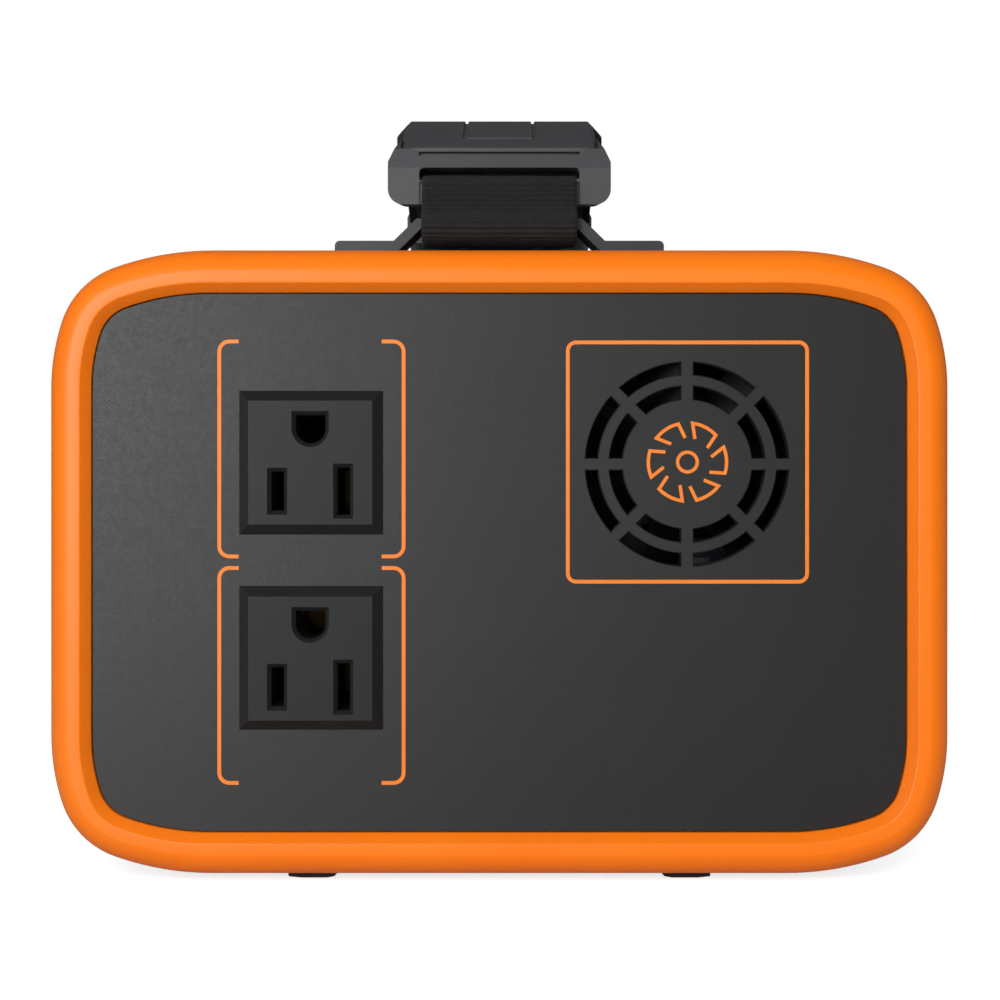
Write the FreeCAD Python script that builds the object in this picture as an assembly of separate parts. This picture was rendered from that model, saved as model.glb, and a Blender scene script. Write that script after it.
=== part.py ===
import FreeCAD, Part
import math
import os
from FreeCAD import Vector

# Compact camping power station, millimetres.
# +Z is up and the feet stand on Z = 0.  The outlet face looks along -Y, the control face along +Y.
# The carry handle runs front to back over the top.

X_AXIS = Vector(1, 0, 0)
Y_AXIS = Vector(0, 1, 0)
Z_AXIS = Vector(0, 0, 1)
NEAR = 1e-4                      # two places closer than this are the same
OVERSHOOT = 1.0                  # cutting shapes reach this far past the material

# ---- case ---------------------------------------------------------------------------------------
CASE_WIDTH = 175.0
CASE_HEIGHT = 121.7
CASE_DEPTH = 100.0
FOOT_STAND = 1.6                 # the case floats this far above the ground
CORNER_TOP_RADIUS = 57.1         # the corner runs flat, tight, flat: three tangent arcs
CORNER_MID_RADIUS = 16.9
CORNER_SIDE_RADIUS = 41.8
CORNER_TOP_ANGLE = 19.6
CORNER_SIDE_ANGLE = 18.25
HALF_WIDTH = CASE_WIDTH / 2
HALF_DEPTH = CASE_DEPTH / 2
CASE_BOTTOM = FOOT_STAND
CASE_MID_Z = CASE_BOTTOM + CASE_HEIGHT / 2
CASE_TOP = CASE_BOTTOM + CASE_HEIGHT

# ---- fits ---------------------------------------------------------------------------------------
FIT_GAP = 0.2                    # between moulded parts that slide together
SOFT_GAP = 0.3                   # round webbing and wrapped parts
SCREW_CLEARANCE = 0.2
SMALL_SCREW_CLEARANCE = 0.1
PANEL_GAP = 0.25                 # seam between a bezel and its panel

# ---- fasteners ----------------------------------------------------------------------------------
SCREW_RADIUS = 1.5               # M3
SCREW_HEAD_RADIUS = 2.8
SCREW_HEAD_HEIGHT = 1.7
SMALL_SCREW_RADIUS = 1.0         # M2
SMALL_HEAD_RADIUS = 1.9
SMALL_HEAD_HEIGHT = 1.0
SMALL_SCREW_LENGTH = 6.0
STRAP_SCREW_LENGTH = 6.0
BATTERY_BOARD_SCREW_LENGTH = 4.0
CASE_SCREW_LENGTH = 24.0
BEZEL_SCREW_LENGTH = 6.0
BRACKET_SCREW_LENGTH = 9.0
CONTROL_SCREW_LENGTH = 6.0
GRIP_SCREW_LENGTH = 8.0

# ---- sleeve -------------------------------------------------------------------------------------
SLEEVE_INSET = 2.0
SLEEVE_WALL = 2.4
SLEEVE_TOP = CASE_TOP - SLEEVE_INSET
CAVITY_INSET = SLEEVE_INSET + SLEEVE_WALL
CAVITY_FLOOR = CASE_BOTTOM + CAVITY_INSET
CAVITY_CEILING = CASE_TOP - CAVITY_INSET
CAVITY_HALF_WIDTH = HALF_WIDTH - CAVITY_INSET

# ---- bezel section: insets run inwards from the outline, depths run back from the front face ----
BEZEL_ROUND_WIDTH = 4.7
BEZEL_CREASE_ANGLE = 20.0        # the round-over meets the flat at this angle, which leaves a crease
BEZEL_FLAT_WIDTH = 2.35
BEZEL_SLOPE_WIDTH = 1.75
BEZEL_SLOPE_DEPTH = 2.0
BEZEL_LIP_THICKNESS = 1.2
BEZEL_DEPTH = 8.0
SPIGOT_LENGTH = 3.0
SPIGOT_THICKNESS = 1.6
BEZEL_WALL = CAVITY_INSET + FIT_GAP + SPIGOT_THICKNESS
BEZEL_OPENING = BEZEL_ROUND_WIDTH + BEZEL_FLAT_WIDTH + BEZEL_SLOPE_WIDTH
LIP_DEPTH = BEZEL_SLOPE_DEPTH + BEZEL_LIP_THICKNESS
SLEEVE_HALF_DEPTH = HALF_DEPTH - BEZEL_DEPTH
BOSS_HALF = 3.5
BOSS_LENGTH = 7.0
BOSS_HEIGHT = 6.0
BOSS_BESIDE_FOOT = 8.0           # the bezel screws stand this far outside the feet
BEZEL_SCREW_Y = -SLEEVE_HALF_DEPTH + BOSS_LENGTH / 2

# ---- screws that join the sleeve halves ---------------------------------------------------------
CASE_SCREW_INSET = (5.5, 12.0)   # from the side wall of the cavity and from the end of the sleeve
CASE_SCREW_X = CAVITY_HALF_WIDTH - CASE_SCREW_INSET[0]
CASE_SCREW_Y = SLEEVE_HALF_DEPTH - CASE_SCREW_INSET[1]
CASE_SCREW_HEAD_Z = 48.0
CASE_BOSS_RADIUS = 4.0

# ---- panels -------------------------------------------------------------------------------------
PANEL_RECESS = 2.2
PANEL_THICKNESS = 3.3
PANEL_BACK = PANEL_RECESS + PANEL_THICKNESS
PANEL_BACK_Y = HALF_DEPTH - PANEL_BACK
SIDE_MARGIN = 51.2               # from the side of the case to the middle of the outlets and of the vent

# ---- receptacles --------------------------------------------------------------------------------
RECEPTACLE_X = SIDE_MARGIN - HALF_WIDTH
RECEPTACLE_PITCH = 37.65
RECEPTACLE_MID_Z = 62.9          # half way between the two receptacles
RECEPTACLE_SIZE = 27.8
RECEPTACLE_RISE = 1.5
RECEPTACLE_BEVEL = 2.0
RECEPTACLE_BODY = 24.6
RECEPTACLE_LENGTH = 20.0
BLADE_PITCH = 12.7
BLADE_DROP = 5.5                 # blade slot centres below the receptacle centre
HOT_SLOT = (2.4, 7.5)
NEUTRAL_SLOT = (2.4, 9.1)
GROUND_RADIUS = 2.85
GROUND_FLAT = 2.55               # from the centre of the round up to the flat
GROUND_RISE = 6.6
SLOT_CHAMFER = 0.75
CONTACT_WALL = 0.6
CONTACT_GAP = 0.3
CONTACT_START = 10.0             # the clips stand this far behind the face
CONTACT_HALF = 2.3
CONTACT_HALF_HEIGHT = 4.0
TAIL_LENGTH = 6.0

# ---- vent and fan -------------------------------------------------------------------------------
VENT_X = HALF_WIDTH - SIDE_MARGIN
VENT_Z = 81.45
VENT_RINGS = ((17.3, 19.7), (12.55, 15.1))
VENT_SPOKE = 2.4
VENT_SPOKES = 8
VENT_CHAMFER = 0.2
FAN_SIZE = 50.0
FAN_THICKNESS = 10.0
FAN_RIM = 1.6                    # thinnest wall of the housing beside the duct
FAN_TIP_GAP = 0.8
FAN_HOLE_INSET = 5.0
FAN_HUB_SHARE = 0.21             # hub radius as a share of the housing's side
FAN_BORE = FAN_SIZE / 2 - FAN_RIM
FAN_BLADE_RADIUS = FAN_BORE - FAN_TIP_GAP
FAN_HUB_RADIUS = FAN_SIZE * FAN_HUB_SHARE
FAN_BLADES = 7
FAN_BLADE_THICKNESS = 1.0
FAN_BLADE_TWIST = 35.0
FAN_SHAFT_RADIUS = 1.0
FAN_SHAFT_FIT = 0.03
FAN_SKIN = 1.5
FAN_HOUSING_CORNER = 2.5
FAN_STRUTS = 4
FAN_STRUT_TURN = 45.0
FAN_STRUT_BITE = 0.5             # how far the struts run into the housing
FAN_FRONT_GAP = 1.2
FAN_HUB_WALL = 1.2
FAN_PILOT = 2.5

# ---- feet ---------------------------------------------------------------------------------------
FOOT_INNER = 31.5
FOOT_OUTER = 41.6
FOOT_FRONT = 8.4                 # back from the bezel face
FOOT_LENGTH = 12.0
FOOT_SINK = 1.0
FOOT_CROWN = 0.5
FOOT_BEVEL = 1.0

# ---- brackets and webbing -----------------------------------------------------------------------
BRACKET_WIDTH = 8.0
BRACKET_Y = SLEEVE_HALF_DEPTH - BRACKET_WIDTH / 2
BRACKET_THICKNESS = 2.1
BRACKET_HALF_SPAN = 32.4
BRACKET_KNEE_X = 20.8
BRACKET_BAR_X = 16.3
BRACKET_PAD = 2.1
BRACKET_RISE = 4.4               # top of the bar above the top of the flange
BRACKET_SCREW_X = 27.5
BRACKET_EDGE = 1.0
PAD_INNER = 21.2
PAD_MARGIN = 1.0
PAD_OUTER = BRACKET_HALF_SPAN + PAD_MARGIN
ANCHOR_RADIUS = 3.6
ANCHOR_DEPTH = 5.0
FLANGE_Z = SLEEVE_TOP + BRACKET_PAD
FLANGE_TOP_Z = FLANGE_Z + BRACKET_THICKNESS
BAR_TOP_Z = FLANGE_TOP_Z + BRACKET_RISE
WEBBING_WIDTH = 30.6
WEBBING_THICKNESS = 1.4
WEBBING_FOLD = 0.5               # inside radius where the webbing turns round the bar
WEBBING_TURN = WEBBING_THICKNESS * 1.2

# ---- grip: insets are measured in from its ends, drops down from its top ----
GRIP_OVERHANG = 2.0              # the grip reaches this far past the middle of the brackets
GRIP_SAG = 13.6                  # the ends of the grip lie this far below its middle
GRIP_HEIGHT = 24.1               # from the bottom of the end frames to the top of the cover
GRIP_LIFT = 1.4                  # free height between the webbing on the bar and the end frames
FRAME_BOTTOM_Z = BAR_TOP_Z + SOFT_GAP + WEBBING_THICKNESS + GRIP_LIFT
GRIP_TOP_Z = FRAME_BOTTOM_Z + GRIP_HEIGHT
GRIP_HALF_LENGTH = BRACKET_Y + GRIP_OVERHANG
GRIP_RADIUS = (GRIP_HALF_LENGTH ** 2 + GRIP_SAG ** 2) / (2 * GRIP_SAG)
GRIP_COVER_INSET = 1.4
GRIP_COVER_HALF_LENGTH = GRIP_HALF_LENGTH - GRIP_COVER_INSET
GRIP_COVER_HALF_WIDTH = 19.6
GRIP_COVER_WALL = 2.5
GRIP_CORE_HEIGHT = 7.4
GRIP_CORE_INSET = 10.0
GRIP_CORE_HALF_LENGTH = GRIP_HALF_LENGTH - GRIP_CORE_INSET
GRIP_BASE_WALL = 2.0
GRIP_GROOVE_WIDTH = 0.8
GRIP_GROOVE_DEPTH = 0.5
GRIP_CROSS_LINE = 0.5
GRIP_TONGUE = (-6.95, 7.1)
GRIP_END_SCREW_INSET = 13.0
GRIP_END_SCREW_Y = GRIP_HALF_LENGTH - GRIP_END_SCREW_INSET
GRIP_SCREW_X = 9.0
GRIP_BASE_SCREW_Y = 14.0
GRIP_BASE_SCREW_WELL = 3.0
TONGUE_INSET = 6.0
TONGUE_HALF_LENGTH = GRIP_HALF_LENGTH - TONGUE_INSET
CORE_HALF_WIDTH = GRIP_COVER_HALF_WIDTH - GRIP_COVER_WALL
COVER_CHAMFER = 0.8
COVER_LINE = 0.9                 # height of the shadow line under each end of the cover
COVER_LINE_DEPTH = 1.0
GRIP_CENTRE_Z = GRIP_TOP_Z - GRIP_RADIUS
COVER_UNDER_RADIUS = GRIP_RADIUS - GRIP_COVER_WALL
CORE_UNDER_RADIUS = COVER_UNDER_RADIUS - GRIP_CORE_HEIGHT
BASE_UNDER_RADIUS = CORE_UNDER_RADIUS - GRIP_BASE_WALL
FRAME_HALF_WIDTH = 22.1
FRAME_LENGTH = 16.0
FRAME_INNER_Y = GRIP_HALF_LENGTH - FRAME_LENGTH
FRAME_CORNER = 3.0
FRAME_SEAT = 4.0                 # screw heads above the bottom of the end frames
FRAME_RISE = 2.4                 # the underside of an end frame climbs this much towards the grip's middle
FRAME_FACE_DROP = 14.3
FRAME_FACE_TOP_Z = GRIP_TOP_Z - FRAME_FACE_DROP
FRAME_EAR_DROP = 15.6            # from the grip's top to the outer end of the slant on the frame
FRAME_EAR_Z = GRIP_TOP_Z - FRAME_EAR_DROP
FRAME_SHOULDER_DROP = 10.0       # from the grip's top to the inner end of that slant
SLOT_HALF_WIDTH = 15.9
SLOT_DROPS = (16.8, 19.7)
SLOT_HIGH_Z, SLOT_LOW_Z = (GRIP_TOP_Z - drop for drop in SLOT_DROPS)
SLOT_ROUND = 1.0
FACE_LEAN = 0.9                  # the face above the slot leans back by this much
FACE_LEAN_DROP = 13.0
LIP_NOTCH = 0.5
STRIP_HALF_WIDTH = 16.0
STRIP_POINT = 12.0
POCKET_RADIUS = 3.4
WEBBING_PIN_INSET = 6.5
WEBBING_PIN_Y = GRIP_HALF_LENGTH - WEBBING_PIN_INSET
WEBBING_PIN_RADIUS = 1.25
PIN_HALF_LENGTH = 19.0
PIN_Z = (SLOT_LOW_Z + SLOT_HIGH_Z) / 2
PAD_BULGE = 1.8
PAD_END_GAP = 1.0
PAD_HALF_LENGTH = FRAME_INNER_Y - PAD_END_GAP
PAD_RIBS = 11
PAD_RIB_DEPTH = 0.8
PAD_RIB_HALF = 0.6

# ---- control board ------------------------------------------------------------------------------
BOARD_THICKNESS = 1.6
POST_RADIUS = 3.0
CONTROL_BOARD_X = 62.0
CONTROL_BOARD_Z = (17.0, 106.0)
CONTROL_GAP = 9.0                # from the back of the control panel to the control board
CONTROL_BOARD_Y = PANEL_BACK_Y - CONTROL_GAP
CONTROL_POSTS = ((-58.0, 102.0), (58.0, 102.0), (-58.0, 21.0), (-15.5, 21.0))

# ---- battery ------------------------------------------------------------------------------------
CELL_DIAMETER = 18.4
CELL_END_GAP = 1.4               # between the cells and the control board
CELL_LENGTH = 2 * (CONTROL_BOARD_Y - BOARD_THICKNESS - CELL_END_GAP)
CELL_PITCH = 19.2
CELL_COLUMNS = 4
CELL_ROWS = 3
HOLDER_WALL = 3.0
HOLDER_INSET = 1.0
LINK_THICKNESS = 0.3
LINK_HALF = 4.0
LINK_MARGIN = 4.0
STRAP_THICKNESS = 1.0
STRAP_WIDTH = 14.0
STRAP_FOOT = 7.0
STRAP_FOOT_Z = 14.5
PACK_BOTTOM_Z = 9.0
PACK_HALF_X = CELL_PITCH * CELL_COLUMNS / 2
PACK_TOP_Z = PACK_BOTTOM_Z + CELL_PITCH * CELL_ROWS
PACK_REACH = PACK_HALF_X + SOFT_GAP + STRAP_THICKNESS + STRAP_FOOT

# ---- how the pack and the inverter share the width of the cavity --------------------------------
POWER_BOARD_WIDTH = 48.0
PACK_TO_POWER = 2.3
LEFT_SHARE = 0.68                # share of the spare width that lies left of the inverter board
SPARE_WIDTH = 2 * CAVITY_HALF_WIDTH - 2 * PACK_REACH - PACK_TO_POWER - POWER_BOARD_WIDTH
POWER_LEFT = -CAVITY_HALF_WIDTH + SPARE_WIDTH * LEFT_SHARE
PACK_X = CAVITY_HALF_WIDTH - SPARE_WIDTH * (1 - LEFT_SHARE) - PACK_REACH

# ---- battery board ------------------------------------------------------------------------------
BATTERY_BOARD_RISE = 3.0
BATTERY_BOARD_Z = PACK_TOP_Z + BATTERY_BOARD_RISE
BATTERY_BOARD_HALF = 15.0
BATTERY_BOARD_SHIFT = 14.0       # the board's middle lies this far left of the pack's
BATTERY_BOARD_X = PACK_X - BATTERY_BOARD_SHIFT
BATTERY_POST_INSET = 4.0
BATTERY_PLUG_INSET = 6.0
BATTERY_PLUG_Y = (10.0, 18.0)
BATTERY_PLUG_HEIGHT = 6.0
CHIP_SIZE = (5.0, 6.0, 2.0)
CHIP_PITCH = 7.0
CHIP_INSET = 8.0
CHIP_Y = -11.0

# ---- inverter: places on the board are measured from its left edge and its middle ----
POWER_BOARD_ROOM = (26.0, 5.5)   # from the bezel face, and to the control board
POWER_BOARD_Y = (-HALF_DEPTH + POWER_BOARD_ROOM[0], CONTROL_BOARD_Y - POWER_BOARD_ROOM[1])
POWER_MID_Y = (POWER_BOARD_Y[0] + POWER_BOARD_Y[1]) / 2
POWER_HALF_LENGTH = (POWER_BOARD_Y[1] - POWER_BOARD_Y[0]) / 2
POWER_BOARD_Z = 16.0
POWER_TOP_Z = POWER_BOARD_Z + BOARD_THICKNESS
POWER_POST_INSET = 4.0
CORE_PLACE = (24.5, 3.0)
CORE_CENTRE = (POWER_LEFT + CORE_PLACE[0], POWER_MID_Y + CORE_PLACE[1])
CORE_SIZE = (18.0, 26.0, 20.0)
COIL_SHARE = 0.36                # coil radius as a share of the core's width
SINK_PLACE = 8.0
SINK_X = POWER_LEFT + SINK_PLACE
SINK_THICKNESS = 3.0
SINK_FIN = 3.5
SINK_HEIGHT = 30.0
SINK_END_ROOM = 10.0             # the sinks keep this far from the ends of the board
SINK_GAP = 3.0
SINK_HALF = (POWER_HALF_LENGTH - SINK_END_ROOM) / 2
SINK_FINS = 5
SINK_YS = (POWER_MID_Y - SINK_HALF - SINK_GAP / 2, POWER_MID_Y + SINK_HALF + SINK_GAP / 2)
FIN_THICKNESS = 1.2
TRANSISTOR_GAP = 1.5
TRANSISTOR_SIZE = (4.5, SINK_HALF - TRANSISTOR_GAP, 18.0)
TERMINAL_PLACE = (18.0, 1.0)
TERMINAL_SIZE = (20.0, 7.0, 9.0)
TERMINAL_X = (POWER_LEFT + TERMINAL_PLACE[0], POWER_LEFT + TERMINAL_PLACE[0] + TERMINAL_SIZE[0])
TERMINAL_Y = (POWER_BOARD_Y[0] + TERMINAL_PLACE[1], POWER_BOARD_Y[0] + TERMINAL_PLACE[1] + TERMINAL_SIZE[1])
TERMINAL_TOP_Z = POWER_TOP_Z + TERMINAL_SIZE[2]
CAPACITOR_PLACES = ((40.5, -8.5), (40.5, 4.5))
CAPACITOR_RADIUS = 6.0
CAPACITOR_HEIGHT = 25.0

# ---- control face -------------------------------------------------------------------------------
DISPLAY_CENTRE = (8.0, 89.0)
DISPLAY_SIZE = (52.0, 26.0)
DISPLAY_LEDGE = 2.0
WINDOW_THICKNESS = 1.2
LAMP_CENTRE = (53.0, 66.0)
LAMP_SIZE = (11.0, 46.0)
LENS_FLANGE = 1.0
REFLECTOR_WALL = 1.0
LED_COUNT = 5
LED_HALF = 1.75
LED_HEIGHT = 1.0
USB_A_PLACES = ((-24.0, 37.0), (-6.0, 37.0))
USB_A_SIZE = (13.2, 5.8)
USB_C_PLACE = (-41.0, 37.0)
USB_C_SIZE = (8.9, 3.2)
USB_A_WALL = 0.4
USB_A_TONGUE = 1.8
USB_C_WALL = 0.3
USB_C_TONGUE = 0.7
JACK_OUT_PLACES = ((14.0, 37.0), (29.0, 37.0))
JACK_IN_PLACE = (-58.0, 37.0)
JACK_RADIUS = 4.0
JACK_BORE = 3.0
JACK_PIN = 1.0
JACK_FLOOR = 1.0
PORT_REACH = 1.0                 # ports stop this far behind the outer face of the panel
BUTTON_TRAVEL = 1.0
BUTTON_GAP = 0.15
BUTTON_PROUD = 1.2
BUTTON_FLANGE = 1.0
BUTTON_EDGE = 0.6
BUTTON_STEM = 1.6
SWITCH_HALF = 3.0
SWITCH_HEIGHT = 3.5
SWITCH_PLUNGER = 0.8
BUTTONS = {
    "power_button": (-50.0, 88.0, 6.0),
    "ac_button": (-50.0, 62.0, 4.5),
    "dc_button": (21.5, 56.0, 4.5),
    "lamp_button": (53.0, 28.0, 4.5),
}

# ---- leads --------------------------------------------------------------------------------------
LEAD_RADIUS = 0.9
LEAD_DROP = 6.0                  # the last straight run down into the board
AC_LEAD_BACK = (11.3, 4.3)       # how far the upper and the lower leads run back before they turn down
AC_LEAD_LANDINGS = ((19.5, 22.0, 24.5), (28.5, 31.0, 33.5))
BATTERY_LEAD_Y = 14.0
BATTERY_LEAD_LAND_Y = 17.0
BATTERY_LEAD_BEND_Z = 60.0
BATTERY_LEAD_EDGE = 42.0
BATTERY_LEAD_EDGE_X = PACK_X - BATTERY_LEAD_EDGE
BATTERY_LEADS = ((-7.0, 7.0, 45.5), (-3.0, 11.0, 42.0))   # from the board's middle, rise, landing
FAN_LEAD_X = -6.0                # from the middle of the fan
FAN_LEAD_STRAIGHT = 7.0          # straight run at both ends
FAN_LEAD_RISE = 9.0              # the lead ends this far above the middle of the fan


# ---- small tools --------------------------------------------------------------------------------
def box(x0, x1, y0, y1, z0, z1):
    """Block between two corners."""
    return Part.makeBox(x1 - x0, y1 - y0, z1 - z0, Vector(x0, y0, z0))


def rod(radius, start, end):
    """Round bar between two points."""
    run = Vector(*end) - Vector(*start)
    return Part.makeCylinder(radius, run.Length, Vector(*start), run)


def fuse(shapes):
    """One solid out of several that touch."""
    joined = shapes[0].multiFuse(shapes[1:]) if len(shapes) > 1 else shapes[0]
    return joined.removeSplitter()


def group(shapes):
    """Separate solids that share one node."""
    return Part.makeCompound(shapes)


def mirrored(shape, axis=Y_AXIS):
    """The same shape on the other side of the middle."""
    return shape.mirror(Vector(0, 0, 0), axis)


def prism_x(points, x0, x1):
    """Polygon given as (y, z), drawn out along X."""
    wire = Part.makePolygon([Vector(x0, y, z) for y, z in points + points[:1]])
    return Part.Face(wire).extrude(Vector(x1 - x0, 0, 0))


def prism_y(points, y0, y1):
    """Polygon given as (x, z), drawn out along Y."""
    wire = Part.makePolygon([Vector(x, y0, z) for x, z in points + points[:1]])
    return Part.Face(wire).extrude(Vector(0, y1 - y0, 0))


def edges_at(shape, test):
    """Edges whose every point passes the test."""
    return [edge for edge in shape.Edges if all(test(edge.valueAt(t)) for t in edge_samples(edge))]


def edge_samples(edge):
    """Parameters at both ends and the middle of an edge."""
    return (edge.FirstParameter, (edge.FirstParameter + edge.LastParameter) / 2, edge.LastParameter)


def screw(radius, length, head_radius, head_height, countersunk=False):
    """Screw with its head's top at the origin, pointing down -Z."""
    tip = radius if countersunk else head_radius
    head = Part.makeCone(head_radius, tip, head_height, Vector(0, 0, 0), -Z_AXIS) if countersunk \
        else Part.makeCylinder(head_radius, head_height, Vector(0, 0, 0), -Z_AXIS)
    shank = Part.makeCylinder(radius, length, Vector(0, 0, -head_height), -Z_AXIS)
    socket = Part.makeCylinder(head_radius * 0.5, head_height * 0.5, Vector(0, 0, 0), -Z_AXIS)
    return fuse([head, shank]).cut(socket)


def place(shape, position, pointing):
    """Turn a shape that points down -Z to another direction and move it to its place."""
    turned = shape.copy()
    turned.Placement = FreeCAD.Placement(Vector(*position), FreeCAD.Rotation(-Z_AXIS, Vector(*pointing)))
    return turned


def lead(points, radius):
    """Wire along straight runs joined by tangent arcs."""
    nodes = [Vector(*p) for p in points]
    edges, here = [], nodes[0]
    for before, corner, after in zip(nodes, nodes[1:], nodes[2:]):
        into, out = (corner - before), (after - corner)
        setback = 0.45 * min(into.Length, out.Length)
        start = corner - into.normalize() * setback
        end = corner + out.normalize() * setback
        half_turn = into.getAngle(out) / 2
        bend = setback / math.tan(half_turn)
        inward = (out - into).normalize()
        middle = corner + inward * (bend / math.cos(half_turn) - bend)
        edges += [Part.makeLine(here, start), Part.Arc(start, middle, end).toShape()]
        here = end
    edges.append(Part.makeLine(here, nodes[-1]))
    path = Part.Wire(edges)
    ring = Part.Wire(Part.makeCircle(radius, nodes[0], nodes[1] - nodes[0]))
    return path.makePipe(Part.Face(ring))


# ---- outline of the case ------------------------------------------------------------------------
def corner_runs():
    """Centre, radius and sweep of the three arcs of the upper right corner, from the top round."""
    first = math.radians(CORNER_TOP_ANGLE)
    second = math.radians(90 - CORNER_SIDE_ANGLE)
    top_shift = CORNER_TOP_RADIUS - CORNER_MID_RADIUS
    side_shift = CORNER_SIDE_RADIUS - CORNER_MID_RADIUS
    x = HALF_WIDTH - CORNER_SIDE_RADIUS - top_shift * math.sin(first) + side_shift * math.sin(second)
    z = CASE_HEIGHT / 2 - CORNER_TOP_RADIUS
    top = (x, z)
    mid = (x + top_shift * math.sin(first), z + top_shift * math.cos(first))
    side = (mid[0] - side_shift * math.sin(second), mid[1] - side_shift * math.cos(second))
    return ((CORNER_TOP_RADIUS, top, 0.0, first),
            (CORNER_MID_RADIUS, mid, first, second),
            (CORNER_SIDE_RADIUS, side, second, math.pi / 2))


def outline(inset, y):
    """Closed contour of the case, moved inwards by the inset, in the plane of y."""
    here = Vector(0, y, CASE_BOTTOM + inset)
    start, edges = here, []
    for sx, sz, order in ((1, -1, 1), (1, 1, -1), (-1, 1, 1), (-1, -1, -1)):
        for radius, centre, sweep0, sweep1 in corner_runs()[::order]:
            reach = radius - inset
            turn = (sweep0, (sweep0 + sweep1) / 2, sweep1)[::order]
            arc = [Vector(sx * (centre[0] + reach * math.sin(t)), y,
                          CASE_MID_Z + sz * (centre[1] + reach * math.cos(t))) for t in turn]
            if (arc[0] - here).Length > NEAR:
                edges.append(Part.makeLine(here, arc[0]))
            edges.append(Part.Arc(*arc).toShape())
            here = arc[2]
    edges.append(Part.makeLine(here, start))
    return Part.Wire(edges)


def slab(inset, y0, y1):
    """Plate with the outline of the case between two planes."""
    return Part.Face(outline(inset, y0)).extrude(Vector(0, y1 - y0, 0))


# ---- case pieces --------------------------------------------------------------------------------
def bezel_section():
    """Section of the front bezel at the bottom of the case, as (inset, depth)."""
    crease = math.radians(BEZEL_CREASE_ANGLE)
    radius = BEZEL_ROUND_WIDTH / (1 - math.sin(crease))
    side_depth = radius * math.cos(crease)

    def at(inset, depth):
        return Vector(0, -HALF_DEPTH + depth, CASE_BOTTOM + inset)

    def on_round(angle):
        return at(radius - radius * math.sin(angle), side_depth - radius * math.cos(angle))

    middle = (crease + math.pi / 2) / 2
    flat_end = BEZEL_ROUND_WIDTH + BEZEL_FLAT_WIDTH
    seat = CAVITY_INSET + FIT_GAP
    corners = [at(BEZEL_ROUND_WIDTH, 0), at(flat_end, 0),
               at(BEZEL_OPENING, BEZEL_SLOPE_DEPTH), at(BEZEL_OPENING, LIP_DEPTH),
               at(BEZEL_WALL, LIP_DEPTH), at(BEZEL_WALL, BEZEL_DEPTH + SPIGOT_LENGTH),
               at(seat, BEZEL_DEPTH + SPIGOT_LENGTH), at(seat, BEZEL_DEPTH), at(0, BEZEL_DEPTH),
               at(0, side_depth)]
    round_over = Part.Arc(on_round(math.pi / 2), on_round(middle), on_round(crease)).toShape()
    lines = [Part.makeLine(a, b) for a, b in zip(corners, corners[1:])]
    return Part.Face(Part.Wire([round_over] + lines))


def bezel_boss_places():
    """X of the two screws that hold each bezel to the floor of the sleeve."""
    return (-FOOT_OUTER - BOSS_BESIDE_FOOT, FOOT_OUTER + BOSS_BESIDE_FOOT)


def bezel():
    """Front bezel ring with its spigot and the two bosses that its screws bite into."""
    ring = outline(0, -HALF_DEPTH).makePipe(bezel_section())
    bosses = [box(x - BOSS_HALF, x + BOSS_HALF, -SLEEVE_HALF_DEPTH, -SLEEVE_HALF_DEPTH + BOSS_LENGTH,
                  CAVITY_FLOOR + FIT_GAP, CAVITY_FLOOR + FIT_GAP + BOSS_HEIGHT)
              for x in bezel_boss_places()]
    holes = [rod(SCREW_RADIUS, (x, BEZEL_SCREW_Y, 0), (x, BEZEL_SCREW_Y, CAVITY_FLOOR + BOSS_HEIGHT))
             for x in bezel_boss_places()]
    notches = [rod(ANCHOR_RADIUS + FIT_GAP, (x, y, CAVITY_CEILING - ANCHOR_DEPTH), (x, y, CAVITY_CEILING))
               for x, y in bracket_screw_places() if y < 0]
    return fuse([ring] + bosses).cut(group(holes + notches))


def panel_blank():
    """Front panel without its openings: the face in the bezel and the flange behind its lip."""
    face = slab(BEZEL_OPENING + PANEL_GAP, -HALF_DEPTH + PANEL_RECESS, -HALF_DEPTH + PANEL_BACK)
    flange = slab(BEZEL_WALL + FIT_GAP, -HALF_DEPTH + LIP_DEPTH, -HALF_DEPTH + PANEL_BACK)
    return fuse([face, flange])


def receptacle_centres():
    """Upper and lower receptacle centres as (x, z)."""
    return [(RECEPTACLE_X, RECEPTACLE_MID_Z + side * RECEPTACLE_PITCH / 2) for side in (1, -1)]


def vent_slots(depth0, depth1):
    """The arc slots of the vent as solids between two depths."""
    slots = []
    y0, y1 = -HALF_DEPTH + depth0, -HALF_DEPTH + depth1
    for inner, outer in VENT_RINGS:
        ends = ((VENT_X, y0, VENT_Z), (VENT_X, y1, VENT_Z))
        slots.append(rod(outer, *ends).cut(rod(inner, *ends)))
    reach = VENT_RINGS[0][1] + OVERSHOOT
    for index in range(VENT_SPOKES // 2):
        spoke = box(-reach, reach, y0, y1, -VENT_SPOKE / 2, VENT_SPOKE / 2)
        spoke.rotate(Vector(0, 0, 0), Y_AXIS, index * 360 / VENT_SPOKES)
        spoke.translate(Vector(VENT_X, 0, VENT_Z))
        slots = [slot.cut(spoke) for slot in slots]
    return group(slots)


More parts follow.
